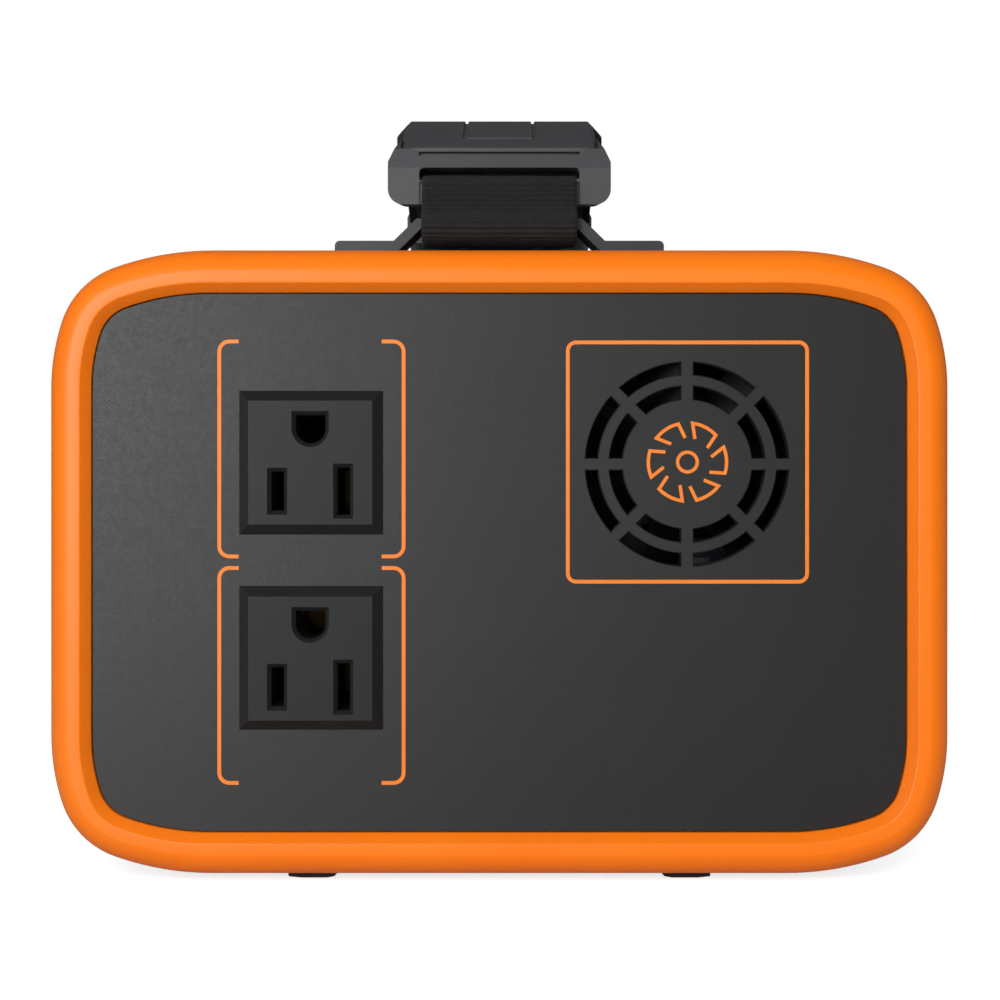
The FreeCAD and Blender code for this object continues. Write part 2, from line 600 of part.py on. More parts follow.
def ac_panel():
    """Outlet panel with openings for the receptacles, the vent and the fan screws."""
    panel = panel_blank()
    half = RECEPTACLE_BODY / 2 + FIT_GAP
    holes = [box(x - half, x + half, -HALF_DEPTH, -HALF_DEPTH + PANEL_BACK, z - half, z + half)
             for x, z in receptacle_centres()]
    pilots = [rod(SCREW_RADIUS, (x, -PANEL_BACK_Y - FAN_PILOT, z), (x, -PANEL_BACK_Y, z))
              for x, z in fan_screw_places()]
    panel = panel.cut(group(holes + pilots)).cut(vent_slots(0, PANEL_BACK))
    rim = edges_at(panel, lambda p: abs(p.y + HALF_DEPTH - PANEL_RECESS) < NEAR
                   and math.hypot(p.x - VENT_X, p.z - VENT_Z) < VENT_RINGS[0][1] + VENT_CHAMFER)
    return panel.makeChamfer(VENT_CHAMFER, rim)


def sleeve(z0, z1):
    """Tube of the case between the bezels, cut to a band of heights."""
    y = SLEEVE_HALF_DEPTH
    tube = slab(SLEEVE_INSET, -y, y).cut(slab(CAVITY_INSET, -y, y))
    return tube.common(box(-CASE_WIDTH, CASE_WIDTH, -y, y, z0, z1))


def case_screw_places():
    """The four screws that join the lower and the upper sleeve, as (x, y)."""
    return [(sx * CASE_SCREW_X, sy * CASE_SCREW_Y) for sx in (-1, 1) for sy in (-1, 1)]


def inside_case(shape):
    """Keep what lies within the outer skin of the sleeve."""
    return shape.common(slab(SLEEVE_INSET, -SLEEVE_HALF_DEPTH, SLEEVE_HALF_DEPTH))


def foot_centres():
    """Centres of the four feet as (x, y)."""
    x = (FOOT_INNER + FOOT_OUTER) / 2
    y = HALF_DEPTH - FOOT_FRONT - FOOT_LENGTH / 2
    return [(sx * x, sy * y) for sx in (-1, 1) for sy in (-1, 1)]


def foot(x, y):
    """Rubber foot: vertical outer side, bevelled inner side, slightly crowned sole."""
    half = (FOOT_OUTER - FOOT_INNER) / 2
    side = 1 if x > 0 else -1
    top = CASE_BOTTOM + SLEEVE_INSET + FOOT_SINK
    section = [(x + side * half, top), (x - side * half, top), (x - side * half, FOOT_CROWN + FOOT_BEVEL),
               (x - side * (half - FOOT_BEVEL), FOOT_CROWN * 0.5), (x - side * half * 0.5, 0.0),
               (x + side * half * 0.5, 0.0), (x + side * half, FOOT_CROWN * 0.5)]
    return prism_y(section, y - FOOT_LENGTH / 2, y + FOOT_LENGTH / 2)


def feet():
    """All four feet."""
    return group([foot(x, y) for x, y in foot_centres()])


def foot_recesses():
    """Shallow pockets in the floor that locate the feet."""
    half = (FOOT_OUTER - FOOT_INNER) / 2
    return [box(x - half, x + half, y - FOOT_LENGTH / 2, y + FOOT_LENGTH / 2, 0,
                CASE_BOTTOM + SLEEVE_INSET + FOOT_SINK) for x, y in foot_centres()]


def lower_shell():
    """Lower half of the sleeve with its screw towers, board posts, pack bosses and foot pockets."""
    tube = sleeve(0, CASE_MID_Z)
    towers = [rod(CASE_BOSS_RADIUS, (x, y, CASE_BOTTOM), (x, y, CASE_MID_Z))
              for x, y in case_screw_places()]
    posts = [rod(POST_RADIUS, (x, y, CASE_BOTTOM + SLEEVE_INSET), (x, y, POWER_BOARD_Z))
             for x, y in power_post_places()]
    bosses = [box(x - STRAP_FOOT / 2, x + STRAP_FOOT / 2, -STRAP_WIDTH / 2, STRAP_WIDTH / 2,
                  CASE_BOTTOM + SLEEVE_INSET, STRAP_FOOT_Z) for x in strap_screw_xs()]
    rails = [box(PACK_X - PACK_HALF_X, PACK_X + PACK_HALF_X, y - HOLDER_WALL / 2, y + HOLDER_WALL / 2,
                 CASE_BOTTOM + SLEEVE_INSET, PACK_BOTTOM_Z) for y in holder_ys()]
    body = fuse([tube, inside_case(group(towers + posts + bosses + rails))])
    wells = [rod(SCREW_HEAD_RADIUS + SCREW_CLEARANCE, (x, y, 0), (x, y, CASE_SCREW_HEAD_Z))
             for x, y in case_screw_places()]
    shanks = [rod(SCREW_RADIUS + SCREW_CLEARANCE, (x, y, 0), (x, y, CASE_MID_Z))
              for x, y in case_screw_places()]
    post_pilots = [rod(SMALL_SCREW_RADIUS, (x, y, POWER_BOARD_Z - SMALL_SCREW_LENGTH), (x, y, POWER_BOARD_Z))
                   for x, y in power_post_places()]
    strap_pilots = [rod(SCREW_RADIUS, (x, 0, STRAP_FOOT_Z - STRAP_SCREW_LENGTH), (x, 0, STRAP_FOOT_Z))
                    for x in strap_screw_xs()]
    bezel_holes = [place(screw_void(), (x, sy * BEZEL_SCREW_Y, CASE_BOTTOM + SLEEVE_INSET), (0, 0, 1))
                   for x in bezel_boss_places() for sy in (1, -1)]
    straight = wells + shanks + post_pilots + strap_pilots + foot_recesses()
    return body.cut(group(straight)).cut(group(bezel_holes))


def screw_void():
    """Countersink and clearance hole through the floor for a bezel screw."""
    cone = Part.makeCone(SCREW_HEAD_RADIUS, SCREW_RADIUS, SCREW_HEAD_HEIGHT, Vector(0, 0, 0), -Z_AXIS)
    hole = Part.makeCylinder(SCREW_RADIUS, SLEEVE_WALL * 2, Vector(0, 0, 0), -Z_AXIS)
    return fuse([cone, hole])


def upper_shell():
    """Upper half of the sleeve with the screw bosses and the raised pads under the handle brackets."""
    tube = sleeve(CASE_MID_Z, CASE_TOP)
    bosses = [rod(CASE_BOSS_RADIUS, (x, y, CASE_MID_Z), (x, y, CASE_TOP))
              for x, y in case_screw_places()]
    anchors = [rod(ANCHOR_RADIUS, (x, y, CAVITY_CEILING - ANCHOR_DEPTH), (x, y, CASE_TOP - SLEEVE_INSET))
               for x, y in bracket_screw_places()]
    inner = inside_case(group(bosses + anchors))
    pad_half = BRACKET_WIDTH / 2
    pads = [box(*sorted((sx * PAD_INNER, sx * PAD_OUTER)),
                sy * BRACKET_Y - pad_half, sy * BRACKET_Y + pad_half,
                SLEEVE_TOP - SLEEVE_WALL / 2, FLANGE_Z) for sx in (-1, 1) for sy in (-1, 1)]
    body = fuse([tube, inner] + pads)
    pilots = [rod(SCREW_RADIUS, (x, y, CASE_MID_Z), (x, y, case_screw_tip()))
              for x, y in case_screw_places()]
    anchor_tip = FLANGE_TOP_Z - BRACKET_SCREW_LENGTH - SCREW_HEAD_HEIGHT
    anchor_pilots = [rod(SCREW_RADIUS, (x, y, anchor_tip), (x, y, FLANGE_TOP_Z))
                     for x, y in bracket_screw_places()]
    return body.cut(group(pilots + anchor_pilots))


def case_screw_tip():
    """Height that the case screws reach."""
    return CASE_SCREW_HEAD_Z + CASE_SCREW_LENGTH


def shell_screws():
    """The four long screws, heads deep in the lower towers."""
    one = screw(SCREW_RADIUS, CASE_SCREW_LENGTH - SCREW_HEAD_HEIGHT, SCREW_HEAD_RADIUS, SCREW_HEAD_HEIGHT)
    return group([place(one, (x, y, CASE_SCREW_HEAD_Z - SCREW_HEAD_HEIGHT), (0, 0, 1))
                  for x, y in case_screw_places()])


def bezel_screws():
    """Two countersunk screws under each bezel."""
    one = screw(SCREW_RADIUS, BEZEL_SCREW_LENGTH, SCREW_HEAD_RADIUS, SCREW_HEAD_HEIGHT, countersunk=True)
    return group([place(one, (x, sy * BEZEL_SCREW_Y, CASE_BOTTOM + SLEEVE_INSET), (0, 0, 1))
                  for x in bezel_boss_places() for sy in (1, -1)])


# ---- receptacles --------------------------------------------------------------------------------
def blade_places():
    """Slot centre x from the receptacle centre, with the slot's width and height."""
    return ((-BLADE_PITCH / 2,) + HOT_SLOT, (BLADE_PITCH / 2,) + NEUTRAL_SLOT)


def ground_hole(radius, flat, y0, y1):
    """D-shaped prism about the middle of its round part."""
    whole = rod(radius, (0, y0, 0), (0, y1, 0))
    lower = whole.common(box(-radius, radius, y0, y1, -radius, 0))
    upper = box(-radius, radius, y0, y1, 0, flat)
    return fuse([lower, upper])


def receptacle(x, z):
    """Snap-in receptacle: bevelled flange on the panel, body behind it, cavities for the contacts."""
    face_y = -HALF_DEPTH + PANEL_RECESS - RECEPTACLE_RISE
    panel_y = -HALF_DEPTH + PANEL_RECESS
    half = RECEPTACLE_SIZE / 2
    top = half - RECEPTACLE_BEVEL
    wide = Part.makePolygon([Vector(a, panel_y, b) for a, b in square(half)])
    narrow = Part.makePolygon([Vector(a, face_y, b) for a, b in square(top)])
    flange = Part.makeLoft([wide, narrow], True)
    core_half = RECEPTACLE_BODY / 2
    body = box(-core_half, core_half, panel_y, panel_y + RECEPTACLE_LENGTH, -core_half, core_half)
    shape = fuse([flange, body])
    back = panel_y + RECEPTACLE_LENGTH
    contact_y = face_y + CONTACT_START
    cuts = []
    for offset, width, height in blade_places():
        cuts.append(box(offset - width / 2, offset + width / 2, face_y, back,
                        -BLADE_DROP - height / 2, -BLADE_DROP + height / 2))
        cuts.append(contact_block(offset, contact_y, back, CONTACT_GAP))
    ground = ground_hole(GROUND_RADIUS, GROUND_FLAT, face_y, contact_y)
    ground.translate(Vector(0, 0, GROUND_RISE))
    cuts += [ground, rod(GROUND_RADIUS + CONTACT_WALL + CONTACT_GAP, (0, contact_y, GROUND_RISE),
                         (0, back, GROUND_RISE))]
    shape = shape.cut(group(cuts[:-1])).cut(cuts[-1])
    rims = edges_at(shape, lambda p: abs(p.y - face_y) < NEAR and max(abs(p.x), abs(p.z)) < top - NEAR)
    shape = shape.makeChamfer(SLOT_CHAMFER, rims)
    shape.translate(Vector(x, 0, z))
    return shape


def square(half):
    """Corners of a square about the middle, closed."""
    return [(-half, -half), (half, -half), (half, half), (-half, half), (-half, -half)]


def contact_block(offset, y0, y1, grow):
    """Space that one blade contact takes."""
    half, height = CONTACT_HALF + grow, CONTACT_HALF_HEIGHT + grow
    return box(offset - half, offset + half, y0, y1, -BLADE_DROP - height, -BLADE_DROP + height)


def contacts(x, z):
    """Two spring clips and the ground sleeve of one receptacle, with their solder tails."""
    start = -HALF_DEPTH + PANEL_RECESS - RECEPTACLE_RISE + CONTACT_START + CONTACT_GAP
    back = -HALF_DEPTH + PANEL_RECESS + RECEPTACLE_LENGTH
    pieces = []
    for offset, _width, _height in blade_places():
        clip = contact_block(offset, start, back, 0)
        inner = box(offset - CONTACT_HALF + CONTACT_WALL, offset + CONTACT_HALF - CONTACT_WALL,
                    start, back - CONTACT_WALL,
                    -BLADE_DROP - CONTACT_HALF_HEIGHT, -BLADE_DROP + CONTACT_HALF_HEIGHT)
        tail = box(offset - CONTACT_HALF / 2, offset + CONTACT_HALF / 2,
                   back - CONTACT_WALL, back + TAIL_LENGTH,
                   -BLADE_DROP - CONTACT_WALL / 2, -BLADE_DROP + CONTACT_WALL / 2)
        pieces.append(fuse([clip.cut(inner), tail]))
    tube = rod(GROUND_RADIUS + CONTACT_WALL, (0, start, GROUND_RISE), (0, back, GROUND_RISE))
    bore = rod(GROUND_RADIUS, (0, start, GROUND_RISE), (0, back - CONTACT_WALL, GROUND_RISE))
    tail = box(-CONTACT_HALF / 2, CONTACT_HALF / 2, back - CONTACT_WALL, back + TAIL_LENGTH,
               GROUND_RISE - CONTACT_WALL / 2, GROUND_RISE + CONTACT_WALL / 2)
    pieces.append(fuse([tube.cut(bore), tail]))
    shape = group(pieces)
    shape.translate(Vector(x, 0, z))
    return shape


# ---- fan ----------------------------------------------------------------------------------------
def fan_screw_places():
    """Corner screws of the fan as (x, z)."""
    half = FAN_SIZE / 2 - FAN_HOLE_INSET
    return [(VENT_X + sx * half, VENT_Z + sz * half) for sx in (-1, 1) for sz in (-1, 1)]


def fan_frame():
    """Square fan housing with its duct, the motor seat on four struts and the shaft hole."""
    y0, y1 = -PANEL_BACK_Y, -PANEL_BACK_Y + FAN_THICKNESS
    half = FAN_SIZE / 2
    block = box(VENT_X - half, VENT_X + half, y0, y1, VENT_Z - half, VENT_Z + half)
    block = block.makeFillet(FAN_HOUSING_CORNER, edges_at(block, corner_of_fan))
    duct = block.cut(rod(FAN_BORE, (VENT_X, y0, VENT_Z), (VENT_X, y1, VENT_Z)))
    seat = rod(FAN_HUB_RADIUS, (VENT_X, y1 - FAN_SKIN, VENT_Z), (VENT_X, y1, VENT_Z))
    struts = []
    for index in range(FAN_STRUTS):
        strut = box(0, FAN_BORE + FAN_STRUT_BITE, y1 - FAN_SKIN, y1, -FAN_SKIN / 2, FAN_SKIN / 2)
        strut.rotate(Vector(0, 0, 0), Y_AXIS, FAN_STRUT_TURN + index * 360 / FAN_STRUTS)
        strut.translate(Vector(VENT_X, 0, VENT_Z))
        struts.append(strut)
    body = fuse([duct, seat] + struts)
    shaft = rod(FAN_SHAFT_RADIUS + FAN_SHAFT_FIT, (VENT_X, y0, VENT_Z), (VENT_X, y1, VENT_Z))
    holes = [rod(SCREW_RADIUS + SCREW_CLEARANCE, (x, y0, z), (x, y1, z)) for x, z in fan_screw_places()]
    return body.cut(group([shaft] + holes))


def corner_of_fan(point):
    """True on the four long corners of the fan housing."""
    half = FAN_SIZE / 2
    return abs(abs(point.x - VENT_X) - half) < NEAR and abs(abs(point.z - VENT_Z) - half) < NEAR


def fan_rotor():
    """Hub cup, pitched blades and the shaft that runs in the housing."""
    y0 = -PANEL_BACK_Y + FAN_FRONT_GAP
    y1 = -PANEL_BACK_Y + FAN_THICKNESS - FAN_SKIN - FAN_FRONT_GAP / 2
    hub = rod(FAN_HUB_RADIUS, (VENT_X, y0, VENT_Z), (VENT_X, y1, VENT_Z))
    hollow = rod(FAN_HUB_RADIUS - FAN_HUB_WALL, (VENT_X, y0 + FAN_HUB_WALL, VENT_Z), (VENT_X, y1, VENT_Z))
    shaft = rod(FAN_SHAFT_RADIUS, (VENT_X, y0, VENT_Z), (VENT_X, -PANEL_BACK_Y + FAN_THICKNESS, VENT_Z))
    middle = (y0 + y1) / 2
    chord = (y1 - y0) / math.cos(math.radians(FAN_BLADE_TWIST)) + 2 * OVERSHOOT
    sweep = rod(FAN_BLADE_RADIUS, (VENT_X, y0, VENT_Z), (VENT_X, y1, VENT_Z))
    blades = []
    for index in range(FAN_BLADES):
        blade = box(FAN_HUB_RADIUS - FAN_HUB_WALL / 2, FAN_BLADE_RADIUS + OVERSHOOT,
                    -chord / 2, chord / 2, -FAN_BLADE_THICKNESS / 2, FAN_BLADE_THICKNESS / 2)
        blade.rotate(Vector(0, 0, 0), X_AXIS, 90 - FAN_BLADE_TWIST)
        blade.rotate(Vector(0, 0, 0), Y_AXIS, index * 360 / FAN_BLADES)
        blade.translate(Vector(VENT_X, middle, VENT_Z))
        blades.append(blade.common(sweep))
    return fuse([hub.cut(hollow), shaft] + blades)


def fan_screws():
    """Four screws from the back of the fan into the outlet panel."""
    one = screw(SCREW_RADIUS, FAN_THICKNESS + FAN_PILOT, SCREW_HEAD_RADIUS, SCREW_HEAD_HEIGHT)
    y = -PANEL_BACK_Y + FAN_THICKNESS + SCREW_HEAD_HEIGHT
    return group([place(one, (x, y, z), (0, -1, 0)) for x, z in fan_screw_places()])


# ---- battery ------------------------------------------------------------------------------------
def cell_centres():
    """Cell axes as (x, z)."""
    return [(PACK_X + (column - (CELL_COLUMNS - 1) / 2) * CELL_PITCH,
             PACK_BOTTOM_Z + (row + 0.5) * CELL_PITCH)
            for column in range(CELL_COLUMNS) for row in range(CELL_ROWS)]


def holder_ys():
    """Middle planes of the two cell holders."""
    y = CELL_LENGTH / 2 - HOLDER_INSET - HOLDER_WALL / 2
    return (-y, y)


def battery_cells():
    """Twelve round cells lying front to back."""
    half = CELL_LENGTH / 2
    return group([rod(CELL_DIAMETER / 2, (x, -half, z), (x, half, z)) for x, z in cell_centres()])


def cell_holders():
    """Two honeycomb plates that keep the cells apart and carry the battery board."""
    plates = []
    for y in holder_ys():
        y0, y1 = y - HOLDER_WALL / 2, y + HOLDER_WALL / 2
        plate = box(PACK_X - PACK_HALF_X, PACK_X + PACK_HALF_X, y0, y1, PACK_BOTTOM_Z, PACK_TOP_Z)
        posts = [box(x - POST_RADIUS, x + POST_RADIUS, y0, y1, PACK_TOP_Z - OVERSHOOT, BATTERY_BOARD_Z)
                 for x in battery_post_xs()]
        holes = [rod(CELL_DIAMETER / 2, (x, y0, z), (x, y1, z)) for x, z in cell_centres()]
        pilots = [rod(SMALL_SCREW_RADIUS, (x, y, BATTERY_BOARD_Z - BATTERY_BOARD_SCREW_LENGTH),
                      (x, y, BATTERY_BOARD_Z)) for x in battery_post_xs()]
        plates.append(fuse([plate] + posts).cut(group(holes)).cut(group(pilots)))
    return group(plates)


def battery_post_xs():
    """X of the posts under the battery board."""
    reach = BATTERY_BOARD_HALF - BATTERY_POST_INSET
    return (BATTERY_BOARD_X - reach, BATTERY_BOARD_X + reach)


def cell_links():
    """Welded nickel strips: one over each column of cells at both ends."""
    strips = []
    for sy in (-1, 1):
        y0 = CELL_LENGTH / 2 if sy > 0 else -CELL_LENGTH / 2 - LINK_THICKNESS
        for column in range(CELL_COLUMNS):
            x = PACK_X + (column - (CELL_COLUMNS - 1) / 2) * CELL_PITCH
            strips.append(box(x - LINK_HALF, x + LINK_HALF, y0, y0 + LINK_THICKNESS,
                              PACK_BOTTOM_Z + LINK_MARGIN, PACK_TOP_Z - LINK_MARGIN))
    return group(strips)


def battery_board():
    """Protection board on top of the pack, with its transistors and plug."""
    y = CELL_LENGTH / 2 - HOLDER_INSET
    x0, x1 = BATTERY_BOARD_X - BATTERY_BOARD_HALF, BATTERY_BOARD_X + BATTERY_BOARD_HALF
    top = BATTERY_BOARD_Z + BOARD_THICKNESS
    plate = box(x0, x1, -y, y, BATTERY_BOARD_Z, top)
    length, depth, height = CHIP_SIZE
    chips = [box(x0 + CHIP_INSET + CHIP_PITCH * i, x0 + CHIP_INSET + CHIP_PITCH * i + length,
                 CHIP_Y - depth / 2, CHIP_Y + depth / 2, top, top + height) for i in range(2)]
    plug = box(x0 + BATTERY_PLUG_INSET, x1 - BATTERY_PLUG_INSET, *BATTERY_PLUG_Y,
               top, top + BATTERY_PLUG_HEIGHT)
    holes = [rod(SMALL_SCREW_RADIUS + SMALL_SCREW_CLEARANCE, (x, hy, 0), (x, hy, top))
             for x in battery_post_xs() for hy in holder_ys()]
    return fuse([plate, plug] + chips).cut(group(holes))


def strap_screw_xs():
    """X of the two screws of the battery strap."""
    reach = PACK_HALF_X + SOFT_GAP + STRAP_THICKNESS + STRAP_FOOT / 2
    return (PACK_X - reach, PACK_X + reach)


def battery_strap():
    """Steel strap bent over the pack, with a foot on each side."""
    inner = PACK_HALF_X + SOFT_GAP
    outer = inner + STRAP_THICKNESS
    end = outer + STRAP_FOOT
    top = PACK_TOP_Z + SOFT_GAP
    half = [(outer, top + STRAP_THICKNESS), (outer, STRAP_FOOT_Z + STRAP_THICKNESS),
            (end, STRAP_FOOT_Z + STRAP_THICKNESS), (end, STRAP_FOOT_Z), (inner, STRAP_FOOT_Z), (inner, top)]
    points = [(PACK_X + x, z) for x, z in half] + [(PACK_X - x, z) for x, z in reversed(half)]
    strap = prism_y(points, -STRAP_WIDTH / 2, STRAP_WIDTH / 2)
    holes = [rod(SCREW_RADIUS + SCREW_CLEARANCE, (x, 0, 0), (x, 0, STRAP_FOOT_Z + STRAP_THICKNESS))
             for x in strap_screw_xs()]
    return strap.cut(group(holes))


def battery_screws():
    """Two strap screws and the four small screws of the battery board."""
    big = screw(SCREW_RADIUS, STRAP_SCREW_LENGTH, SCREW_HEAD_RADIUS, SCREW_HEAD_HEIGHT)
    small = screw(SMALL_SCREW_RADIUS, BATTERY_BOARD_SCREW_LENGTH, SMALL_HEAD_RADIUS, SMALL_HEAD_HEIGHT)
    pieces = [place(big, (x, 0, STRAP_FOOT_Z + STRAP_THICKNESS + SCREW_HEAD_HEIGHT), (0, 0, -1))
              for x in strap_screw_xs()]
    top = BATTERY_BOARD_Z + BOARD_THICKNESS + SMALL_HEAD_HEIGHT
    pieces += [place(small, (x, y, top), (0, 0, -1)) for x in battery_post_xs() for y in holder_ys()]
    return group(pieces)


# ---- inverter -----------------------------------------------------------------------------------
def power_post_places():
    """Screw posts of the inverter board as (x, y)."""
    inset = POWER_POST_INSET
    return [(x, y) for x in (POWER_LEFT + inset, POWER_LEFT + POWER_BOARD_WIDTH - inset)
            for y in (POWER_BOARD_Y[0] + inset, POWER_BOARD_Y[1] - inset)]


def inverter_board():
    """Main board on four posts."""
    plate = box(POWER_LEFT, POWER_LEFT + POWER_BOARD_WIDTH, *POWER_BOARD_Y, POWER_BOARD_Z, POWER_TOP_Z)
    holes = [rod(SMALL_SCREW_RADIUS + SMALL_SCREW_CLEARANCE, (x, y, 0), (x, y, POWER_TOP_Z))
             for x, y in power_post_places()]
    block = box(*TERMINAL_X, *TERMINAL_Y, POWER_TOP_Z, TERMINAL_TOP_Z)
    return fuse([plate, block]).cut(group(holes))


def inverter_transformer():
    """Ferrite core with the winding showing on both sides."""
    (x, y), (w, d, h) = CORE_CENTRE, CORE_SIZE
    core = box(x - w / 2, x + w / 2, y - d / 4, y + d / 4, POWER_TOP_Z, POWER_TOP_Z + h)
    coil = rod(w * COIL_SHARE, (x, y - d / 2, POWER_TOP_Z + h / 2), (x, y + d / 2, POWER_TOP_Z + h / 2))
    return fuse([core, coil])


def heatsinks():
    """Two finned aluminium sinks standing on the board."""
    pieces = []
    for y in SINK_YS:
        top = POWER_TOP_Z + SINK_HEIGHT
        spine = box(SINK_X - SINK_THICKNESS / 2, SINK_X + SINK_THICKNESS / 2, y - SINK_HALF, y + SINK_HALF,
                    POWER_TOP_Z, top)
        pitch = (2 * SINK_HALF - FIN_THICKNESS) / (SINK_FINS - 1)
        fins = [box(SINK_X - SINK_THICKNESS / 2 - SINK_FIN, SINK_X, y - SINK_HALF + pitch * i,
                    y - SINK_HALF + pitch * i + FIN_THICKNESS, POWER_TOP_Z, top) for i in range(SINK_FINS)]
        pieces.append(fuse([spine] + fins))
    return group(pieces)


def power_transistors():
    """Two flat transistors on each heatsink."""
    x = SINK_X + SINK_THICKNESS / 2
    thick, wide, tall = TRANSISTOR_SIZE
    middles = [y + side * SINK_HALF / 2 for y in SINK_YS for side in (-1, 1)]
    return group([box(x, x + thick, y - wide / 2, y + wide / 2, POWER_TOP_Z, POWER_TOP_Z + tall)
                  for y in middles])


def capacitor_places():
    """Centres of the round capacitors as (x, y)."""
    return [(POWER_LEFT + x, POWER_MID_Y + y) for x, y in CAPACITOR_PLACES]


def bulk_capacitors():
    """Round electrolytic capacitors."""
    return group([rod(CAPACITOR_RADIUS, (x, y, POWER_TOP_Z), (x, y, POWER_TOP_Z + CAPACITOR_HEIGHT))
                  for x, y in capacitor_places()])


def board_screws():
    """Four screws of the inverter board."""
    one = screw(SMALL_SCREW_RADIUS, SMALL_SCREW_LENGTH + BOARD_THICKNESS, SMALL_HEAD_RADIUS,
                SMALL_HEAD_HEIGHT)
    return group([place(one, (x, y, POWER_TOP_Z + SMALL_HEAD_HEIGHT), (0, 0, -1))
                  for x, y in power_post_places()])


# ---- control face -------------------------------------------------------------------------------
def window(centre, size, y0, y1, grow=0.0):
    """Upright block about a place on the control face."""
    (x, z), (w, h) = centre, size
    return box(x - w / 2 - grow, x + w / 2 + grow, y0, y1, z - h / 2 - grow, z + h / 2 + grow)


def oval(centre, size, y0, y1, grow=0.0):
    """Upright block with fully rounded ends about a place on the control face."""
    (x, z), (w, h) = centre, size
    radius = h / 2 + grow
    reach = w / 2 + grow - radius
    ends = [rod(radius, (x + side * reach, y0, z), (x + side * reach, y1, z)) for side in (-1, 1)]
    return fuse([box(x - reach, x + reach, y0, y1, z - radius, z + radius)] + ends)


def dc_panel():
    """Control panel with its openings and the posts of the control board."""
    blank = mirrored(panel_blank())
    posts = [rod(POST_RADIUS, (x, CONTROL_BOARD_Y, z), (x, PANEL_BACK_Y, z)) for x, z in CONTROL_POSTS]
    y1 = HALF_DEPTH
    face = HALF_DEPTH - PANEL_RECESS
    ledge = face - WINDOW_THICKNESS
    cuts = [window(DISPLAY_CENTRE, DISPLAY_SIZE, ledge, y1, FIT_GAP),
            window(DISPLAY_CENTRE, DISPLAY_SIZE, PANEL_BACK_Y, y1, -DISPLAY_LEDGE),
            window(LAMP_CENTRE, LAMP_SIZE, PANEL_BACK_Y, y1, FIT_GAP),
            oval(USB_C_PLACE, USB_C_SIZE, PANEL_BACK_Y, y1, FIT_GAP)]
    cuts += [window(place_, USB_A_SIZE, PANEL_BACK_Y, y1, FIT_GAP) for place_ in USB_A_PLACES]
    cuts += [rod(JACK_RADIUS + FIT_GAP, (x, PANEL_BACK_Y, z), (x, y1, z)) for x, z in jack_places()]
    cuts += [rod(r + BUTTON_GAP, (x, PANEL_BACK_Y, z), (x, y1, z)) for x, z, r in BUTTONS.values()]
    cuts += [rod(SMALL_SCREW_RADIUS, (x, CONTROL_BOARD_Y, z), (x, CONTROL_BOARD_Y + CONTROL_SCREW_LENGTH, z))
             for x, z in CONTROL_POSTS]
    body = fuse([blank] + posts)
    for cut in cuts:
        body = body.cut(cut)
    return body


def jack_places():
    """All round jacks as (x, z)."""
    return JACK_OUT_PLACES + (JACK_IN_PLACE,)


def control_board():
    """Upright board behind the control panel."""
    y1 = CONTROL_BOARD_Y
    plate = box(-CONTROL_BOARD_X, CONTROL_BOARD_X, y1 - BOARD_THICKNESS, y1, *CONTROL_BOARD_Z)
    holes = [rod(SMALL_SCREW_RADIUS + SMALL_SCREW_CLEARANCE, (x, 0, z), (x, y1, z)) for x, z in CONTROL_POSTS]
    return plate.cut(group(holes))


def control_screws():
    """Four screws that hold the control board to the panel's posts."""
    one = screw(SMALL_SCREW_RADIUS, CONTROL_SCREW_LENGTH + BOARD_THICKNESS, SMALL_HEAD_RADIUS,
                SMALL_HEAD_HEIGHT)
    y = CONTROL_BOARD_Y - BOARD_THICKNESS - SMALL_HEAD_HEIGHT
    return group([place(one, (x, y, z), (0, 1, 0)) for x, z in CONTROL_POSTS])


def display_module():
    """Display panel standing on the board behind the window."""
    top = HALF_DEPTH - PANEL_RECESS - WINDOW_THICKNESS
    return window(DISPLAY_CENTRE, DISPLAY_SIZE, CONTROL_BOARD_Y, top, -DISPLAY_LEDGE - FIT_GAP)


def display_window():
    """Clear window on the ledge of the panel."""
    face = HALF_DEPTH - PANEL_RECESS
    return window(DISPLAY_CENTRE, DISPLAY_SIZE, face - WINDOW_THICKNESS, face)


def usb_shell(form, centre, size, wall, tongue):
    """Metal port shell of the given form with the contact tongue inside."""
    y0, y1 = CONTROL_BOARD_Y, HALF_DEPTH - PANEL_RECESS - PORT_REACH
    shell = form(centre, size, y0, y1)
    bore = form(centre, size, y0 + wall, y1, -wall)
    width = size[0] - 4 * wall
    plate = window(centre, (width, tongue), y0, y1 - PORT_REACH)
    return fuse([shell.cut(bore), plate])


def usb_a_ports():
    """Two rectangular USB ports."""
    return group([usb_shell(window, centre, USB_A_SIZE, USB_A_WALL, USB_A_TONGUE)
                  for centre in USB_A_PLACES])


def usb_c_port():
    """Oval USB port."""
    return usb_shell(oval, USB_C_PLACE, USB_C_SIZE, USB_C_WALL, USB_C_TONGUE)


def dc_jacks():
    """Round jacks with a centre pin: two outputs and the charging input."""
    pieces = []
    y0, y1 = CONTROL_BOARD_Y, HALF_DEPTH - PANEL_RECESS - PORT_REACH / 2
    for x, z in jack_places():
        bore = rod(JACK_BORE, (x, y0 + JACK_FLOOR, z), (x, y1, z))
        barrel = rod(JACK_RADIUS, (x, y0, z), (x, y1, z)).cut(bore)
        pin = rod(JACK_PIN, (x, y0, z), (x, y1 - PORT_REACH, z))
        pieces.append(fuse([barrel, pin]))
    return group(pieces)


